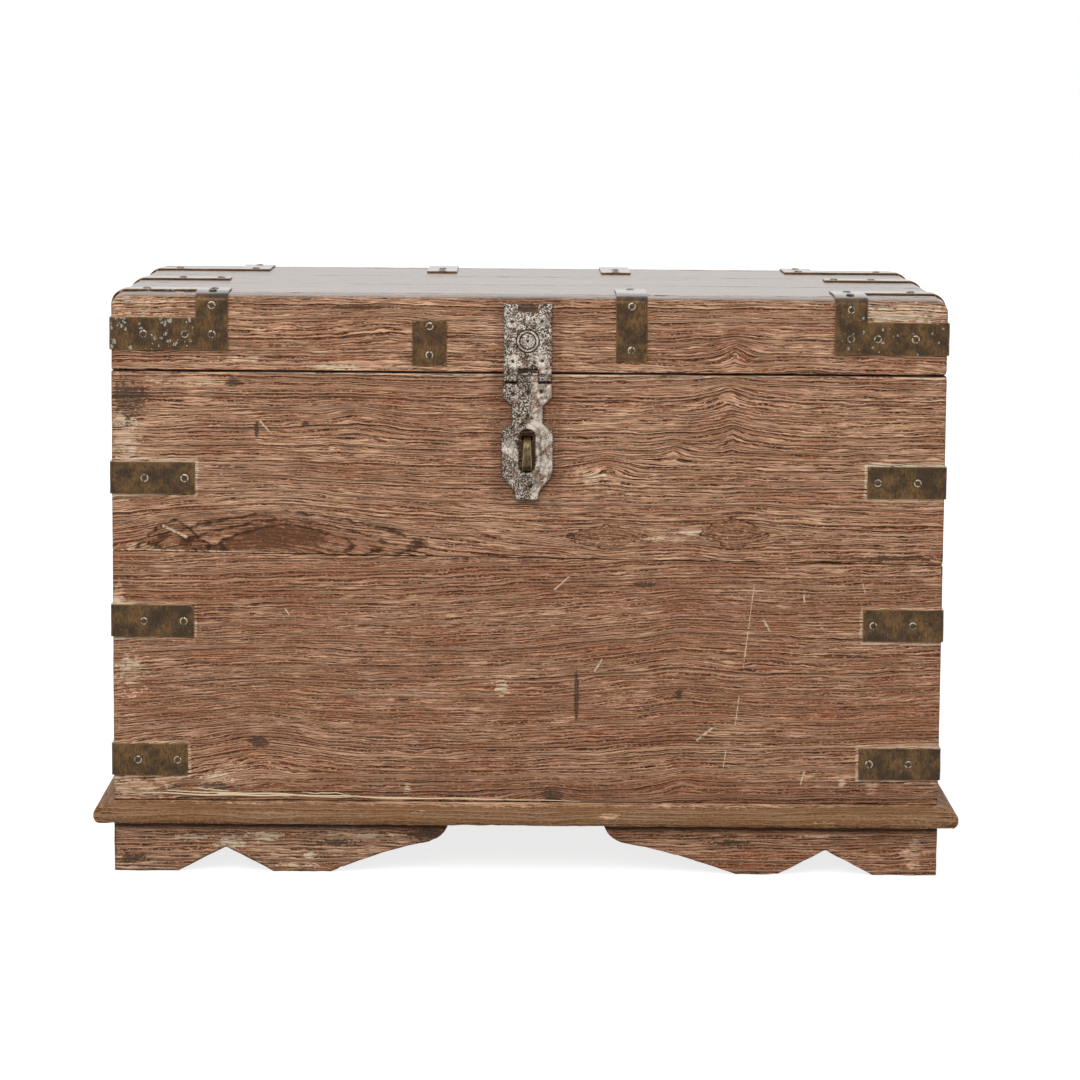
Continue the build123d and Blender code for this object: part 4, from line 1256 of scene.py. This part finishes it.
def screw_head(mesh, base, out, radius, rise, turn, slot):
    """Adds one slotted round head to a mesh, with a dark ring of painted shade round it."""
    rings, around = 5, 20
    rim = mesh.verts.layers.float["rim_share"]
    side = Matrix.Rotation(turn, 3, out) @ out.orthogonal().normalized()
    other = out.cross(side)

    def circle(share, height, count=around):
        """One ring of vertices at a share of the radius and a height above the strap."""
        row = []
        for step in range(count):
            angle = math.tau * step / around
            reach = radius * share
            place = base + side * reach * math.cos(angle) + other * reach * math.sin(angle) + out * height
            vertex = mesh.verts.new(place)
            vertex[rim] = share
            row.append(vertex)
        return row

    def band(inner, outer):
        """The faces between two rings of vertices."""
        for step in range(around):
            after = (step + 1) % around
            yield mesh.faces.new((inner[step], outer[step], outer[after], inner[after]))

    rows = []
    for number in range(rings + 1):
        share = number / rings
        height = rise * math.sqrt(max(0.0, 1 - (share * 0.93) ** 2))
        rows.append(circle(share, height, around if number else 1))
    rows.append(circle(1.0, -rise * 0.2))
    top, first = rows[0][0], rows[1]
    faces = [mesh.faces.new((top, first[step - 1], first[step])) for step in range(around)]
    for inner, outer in zip(rows[1:], rows[2:]):
        faces += band(inner, outer)
    faces.append(mesh.faces.new(list(reversed(rows[-1]))))
    for offset in (-slot / 2 - 0.0001, -slot / 2, slot / 2, slot / 2 + 0.0001):
        solid = [face for face in faces if face.is_valid]
        edges = list({edge for face in solid for edge in face.edges})
        verts = list({vertex for face in solid for vertex in face.verts})
        cut = bmesh.ops.bisect_plane(
            mesh, geom=verts + edges + solid, dist=1e-7, plane_co=base + side * offset, plane_no=side
        )
        faces = [part for part in cut["geom"] if isinstance(part, bmesh.types.BMFace)]
    # The slot is sunk, and its vertices are marked to take the painted shade.
    for vertex in {vertex for face in faces for vertex in face.verts}:
        offset = vertex.co - base
        if abs(offset.dot(side)) <= slot / 2 + 1e-6 and offset.dot(out) > rise * 0.1:
            vertex.co -= out * (rise * 0.7)
            vertex[rim] = 2.0
    # A flat dark ring round the head: painted shade where the head meets the strap.
    inner, outer = circle(0.9, rise * 0.12), circle(1.2, rise * 0.02)
    list(band(inner, outer))
    for vertex in inner + outer:
        vertex[rim] = 2.0


def screw_finish():
    """Brass with a painted highlight near the rim of a head, and painted shade in its slot and in the ring
    round it.
    """
    metal = bpy.context.scene.chest_metal
    finish, sheet, shader = new_finish("brass_of_slotted_screws")
    place = place_in_mm(sheet)
    base, roughness, *rest = brass_patina(
        sheet, place, metal.screw[:], metal.patina[:], metal.verdigris[:], 0.3, 3.0
    )
    rim = sheet.carried("rim_share")
    # Painted highlight near the rim of the head.
    bright = rim.ramp(0.6, 0.85) * rim.ramp(1.05, 1.3, 1.0, 0.0)
    patchy = place.noise((5, 5, 5), 1.0).ramp(0.36, 0.56, 0.15, 0.8)
    # Painted shade in the slot and in the ring round the head.
    dark = rim.ramp(1.2, 1.6, 0.0, 0.92)
    base = sheet.coats(base, (bright * patchy, metal.rim[:]), (dark, metal.hole[:]))
    paint(sheet, shader, base_color=base, roughness=roughness, metallic=rim.ramp(1.2, 1.6, 0.7, 0.0))
    return finish


def screw_piece(node, name, seed, finish):
    """All the screw heads of one node."""
    slot = bpy.context.scene.chest_metal.slot_width
    draw = random.Random(seed)
    mesh = bmesh.new()
    mesh.verts.layers.float.new("rim_share")
    for base, out, radius, rise in SCREWS[node]:
        screw_head(mesh, base, out, radius * draw.uniform(0.92, 1.0), rise, draw.uniform(0, math.pi), slot)
    return dress(finish_piece(mesh, name, [finish], smooth=40), node)


class CHEST_OT_straps(bpy.types.Operator):
    """Make the hammered brass straps of the body and the lid"""

    bl_idname = "chest.straps"
    bl_label = "Straps"

    def execute(self, context):
        left, right = "lid_corner_bracket_front_left", "lid_corner_bracket_front_right"
        specks = {left: 1.08, right: 0.68}
        edge = (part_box(left)[1].x / MM) - STRAP_WIDTH_MM
        for number, node in enumerate(nodes_starting(*STRAPS)):
            strap_piece(node, number, specks.get(node, 0.3), edge if node == left else None)
        return {"FINISHED"}


class CHEST_OT_hinges(bpy.types.Operator):
    """Finish the strap hinges and every pin"""

    bl_idname = "chest.hinges"
    bl_label = "Hinges"

    def execute(self, context):
        for number, node in enumerate(nodes_starting(*HINGE_LEAVES)):
            strap_piece(node, 50 + number, 0.3, None)
        for node in ("hinge_pins", "hasp_pin"):
            NODES[node].material_slots[0].material = iron_finish("iron_" + node, 0.1)
        return {"FINISHED"}


class CHEST_OT_screws(bpy.types.Operator):
    """Make the slotted round screw heads"""

    bl_idname = "chest.screws"
    bl_label = "Screws"

    def execute(self, context):
        finish = screw_finish()
        screw_piece("body_screws", "slotted_body_screws", 11, finish)
        screw_piece("lid_screws", "slotted_lid_screws", 12, finish)
        return {"FINISHED"}


# Marks of the hasp plate and its leaf, in millimetres: (x, z), radius, width. The dark ones are painted
# shade in the holes and engraved rings, and a few dark spots.
PLATE_RINGS = (-2.1, 596.5)
PLATE_HOLES = ((-19.3, 617.7), (13.3, 618.3), (-18.4, 574.1), (14.1, 574.9))
LEAF_HOLES = ((-17.9, 538.7), (-1.5, 540.5), (13.4, 541.1), (-1.5, 515.2), (1.9, 436.1))
PLATE_DARK = [
    *((place, 0.0, 2.1) for place in PLATE_HOLES),
    (PLATE_RINGS, 12.5, 0.9), (PLATE_RINGS, 8.8, 0.8), (PLATE_RINGS, 0.0, 1.7),
    ((-8.0, 600.5), 0.0, 1.0), ((-7.2, 595.0), 0.0, 0.9), ((-1.6, 601.5), 0.0, 0.8),
]
PLATE_PALE = [*((place, 2.0, 5.5) for place in PLATE_HOLES)]
PLATE_PALE += [(PLATE_RINGS, 10.7, 1.3), (PLATE_RINGS, 0.0, 8.0)]
LEAF_DARK = [(place, 0.0, 2.2) for place in LEAF_HOLES]
LEAF_PALE = [((-22.0, 480.0), 0.0, 9.0), ((4.0, 503.0), 0.0, 7.0), ((-14.0, 470.0), 0.0, 6.0)]


# The leaf stands lower beside its knuckles, to clear the plate: from and to which height, how far from
# its middle, and how much lower.
LEAF_MIDDLE_MM = -2.0
SHOULDERS_MM = (549.0, 552.0)
KNUCKLES_REACH_MM = 12.5
SHOULDER_DROP = 0.0012


def hill(place, middle, width):
    """1 at the middle, falling smoothly to nothing on both sides."""
    return math.exp(-(((place - middle) / width) ** 2))


def leaf_bulge(x, z):
    """How far the pressed leaf stands out from its flat sheet at a place, all in millimetres."""
    neck = 1.3 * hill(z, 517, 10) * max(0.0, 1 - ((x - LEAF_MIDDLE_MM) / 17) ** 2)
    shoulder = 0.9 * hill(x, LEAF_MIDDLE_MM, 12) * hill(z, 500, 5)
    lip = 1.1 * hill(z, 422.4, 1.6) - 0.7 * hill(z, 427, 2.2)
    return neck + shoulder + lip - 0.5 * hill(z, 437, 5) * hill(x, -1, 7)


def iron_piece(node, finish):
    """The hasp plate or its leaf with soft edges, a pressed form, dents and rust pits."""
    pit = bpy.context.scene.chest_metal.pit
    mesh, segments = cut_copy(node, IRON_EDGE, ((0, IRON_CELL), (2, IRON_CELL)), marked=70)
    mark_arrises(mesh, segments)
    mesh.normal_update()
    leaf = node == "hasp_leaf"
    for vertex in mesh.verts:
        facing = max(0.0, -vertex.normal.y)
        x, y, z = vertex.co / MM
        dent = noise.noise(vertex.co * 90) * pit * 2.5
        pits = min(0.0, noise.noise(vertex.co * 520) + 0.05) * pit * 2.0
        vertex.co.y -= facing * (leaf * leaf_bulge(x, z) * MM + dent + pits)
        vertex.co += vertex.normal * noise.noise(vertex.co * 160) * pit * 0.8
        beside_knuckles = abs(x - LEAF_MIDDLE_MM) > KNUCKLES_REACH_MM
        if leaf and beside_knuckles and SHOULDERS_MM[0] < z < SHOULDERS_MM[1]:
            vertex.co.z -= SHOULDER_DROP
    return dress(finish_piece(mesh, "pitted_" + node, [finish], smooth=55), node)


def staple_piece():
    """The staple, forged narrower towards its top."""
    metal = bpy.context.scene.chest_metal
    mesh, segments = cut_copy("staple", STAPLE_EDGE, [(axis, STAPLE_CELL) for axis in range(3)], steps=3)
    low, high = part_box("staple")
    middle = (low.x + high.x) / 2
    mark_arrises(mesh, segments)
    for vertex in mesh.verts:
        up = (vertex.co.z - low.z) / (high.z - low.z)
        vertex.co.x = middle + (vertex.co.x - middle) * (1.02 - 0.4 * up)
        vertex.co += Vector((1, 1, 1)) * noise.noise(vertex.co * 260) * metal.pit
    finish, sheet, shader = new_finish("rubbed_staple_brass")
    place = place_in_mm(sheet)
    base, roughness, metallic, height, coat = brass_patina(
        sheet, place, metal.staple[:], metal.patina[:], metal.verdigris[:], 0.3, 70.0
    )
    # Rubbed brass with a painted highlight along the arrises.
    base = sheet.mix(wear(sheet, place, 1.3, 0.1) * 0.6, base, metal.rim[:])
    paint(sheet, shader, (height, 0.0002), base_color=base, roughness=roughness * 0.7, metallic=0.9)
    return dress(finish_piece(mesh, "forged_staple", [finish], smooth=50), "staple")


class CHEST_OT_hasp(bpy.types.Operator):
    """Make the hasp plate, its leaf and the staple"""

    bl_idname = "chest.hasp"
    bl_label = "Hasp"

    def execute(self, context):
        iron_piece("hasp_plate", iron_finish("limed_iron_plate", 0.7, PLATE_DARK, PLATE_PALE))
        iron_piece("hasp_leaf", iron_finish("limed_iron_leaf", 0.5, LEAF_DARK, LEAF_PALE, smooth_from=2.0))
        staple_piece()
        return {"FINISHED"}


# ---------------------------------------------------------------- stage


LAMP_PLACE = (-0.6, -3.2, 2.6)
LAMP_AIM = (0, 0, 0.35)
LAMP_SIZE = 2.6
FLOOR_REACH = 30.0
FLOOR_GREY = (0.5, 0.5, 0.5, 1.0)


class CHEST_OT_stage(bpy.types.Operator):
    """Make the floor, the light and the camera"""

    bl_idname = "chest.stage"
    bl_label = "Stage"

    def execute(self, context):
        stage = context.scene.chest_stage
        make_floor()
        make_sky(stage.sky)
        make_lamp("front_lamp", LAMP_PLACE, LAMP_AIM, LAMP_SIZE, stage.lamp)
        make_camera(stage)
        return {"FINISHED"}


def seen_directly(sheet):
    """1 where the camera sees a thing, straight or by way of a shiny or clear one."""
    path = sheet.add("ShaderNodeLightPath").outputs
    kinds = ("Is Camera Ray", "Is Glossy Ray", "Is Transmission Ray")
    return strongest(Wire(sheet, path[kind]) for kind in kinds)


def make_floor():
    """A wide pale floor that looks white and keeps the chest's shadow."""
    mesh = bmesh.new()
    bmesh.ops.create_grid(mesh, x_segments=1, y_segments=1, size=FLOOR_REACH)
    finish, sheet, both = new_finish("pale_floor", "ShaderNodeAddShader")
    diffuse = sheet.add("ShaderNodeBsdfDiffuse")
    paint(sheet, diffuse, color=FLOOR_GREY)
    glow = sheet.add("ShaderNodeEmission")
    paint(sheet, glow, strength=seen_directly(sheet) * 0.8)
    for shader, socket in zip((diffuse, glow), both.inputs):
        sheet.tree.links.new(shader.outputs[0], socket)
    finish_piece(mesh, "studio_floor", [finish])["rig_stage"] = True


def make_sky(strength):
    """An even sky that looks white and lights the chest at its own level."""
    world = bpy.data.worlds.new("soft_sky")
    bpy.context.scene.world = world
    world.use_nodes = True
    world.node_tree.nodes.clear()
    sheet = Sheet(world.node_tree)
    background = sheet.add("ShaderNodeBackground")
    shown = seen_directly(sheet) * (1.0 - strength) + strength
    paint(sheet, background, color=WHITE, strength=shown)
    output = sheet.add("ShaderNodeOutputWorld")
    sheet.tree.links.new(background.outputs[0], output.inputs["Surface"])


def make_lamp(name, place, aim, size, power):
    """A square soft lamp."""
    data = bpy.data.lights.new(name, "AREA")
    data.size = size
    data.energy = power
    lamp = bpy.data.objects.new(name, data)
    lamp.location = place
    lamp.rotation_mode = "QUATERNION"
    lamp.rotation_quaternion = (Vector(aim) - Vector(place)).to_track_quat("-Z", "Y")
    bpy.context.scene.collection.objects.link(lamp)


def make_camera(stage):
    """The camera, a little above the lid and almost square on."""
    data = bpy.data.cameras.new("eye_level_camera")
    data.sensor_width = 36.0
    data.lens = stage.focal
    data.clip_start = 0.1
    camera = bpy.data.objects.new("eye_level_camera", data)
    bpy.context.scene.collection.objects.link(camera)
    turn = Matrix.Rotation(-stage.yaw, 4, "Z")
    tilt = Matrix.Rotation(math.pi / 2 - stage.pitch, 4, "X")
    lean = Matrix.Rotation(stage.roll, 4, "Z")
    camera.matrix_world = Matrix.Translation(stage.eye) @ turn @ tilt @ lean
    bpy.context.scene.camera = camera


class CHEST_PT_workshop(bpy.types.Panel):
    """Lists every step of the dressing"""

    bl_idname = "CHEST_PT_workshop"
    bl_label = "Damchiya chest"
    bl_space_type = "VIEW_3D"
    bl_region_type = "UI"
    bl_category = "Chest"

    def draw(self, context):
        for step in STEPS:
            self.layout.operator(step.bl_idname)
        for settings in (context.scene.chest_timber, context.scene.chest_metal, context.scene.chest_stage):
            box = self.layout.box()
            for name in settings.__annotations__:
                box.prop(settings, name)


STEPS = (
    CHEST_OT_body_boards,
    CHEST_OT_plinth,
    CHEST_OT_feet,
    CHEST_OT_lid_boards,
    CHEST_OT_straps,
    CHEST_OT_hinges,
    CHEST_OT_screws,
    CHEST_OT_hasp,
    CHEST_OT_stage,
)
SETTINGS = {"chest_timber": ChestTimber, "chest_metal": ChestMetal, "chest_stage": ChestStage}
CLASSES = (*SETTINGS.values(), *STEPS, CHEST_PT_workshop)


def register():
    for kind in CLASSES:
        bpy.utils.register_class(kind)
    for name, kind in SETTINGS.items():
        setattr(bpy.types.Scene, name, bpy.props.PointerProperty(type=kind))


def unregister():
    for name in SETTINGS:
        delattr(bpy.types.Scene, name)
    for kind in reversed(CLASSES):
        bpy.utils.unregister_class(kind)


def main():
    register()
    bpy.context.scene.view_settings.view_transform = "Standard"
    for step in STEPS:
        family, name = step.bl_idname.split(".")
        getattr(getattr(bpy.ops, family), name)()
    boxes = {"cad": SOLID_BOX, "visual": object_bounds()}
    {name: [list(corner) for corner in box] for name, box in boxes.items()}


if __name__ == "__main__":
    main()
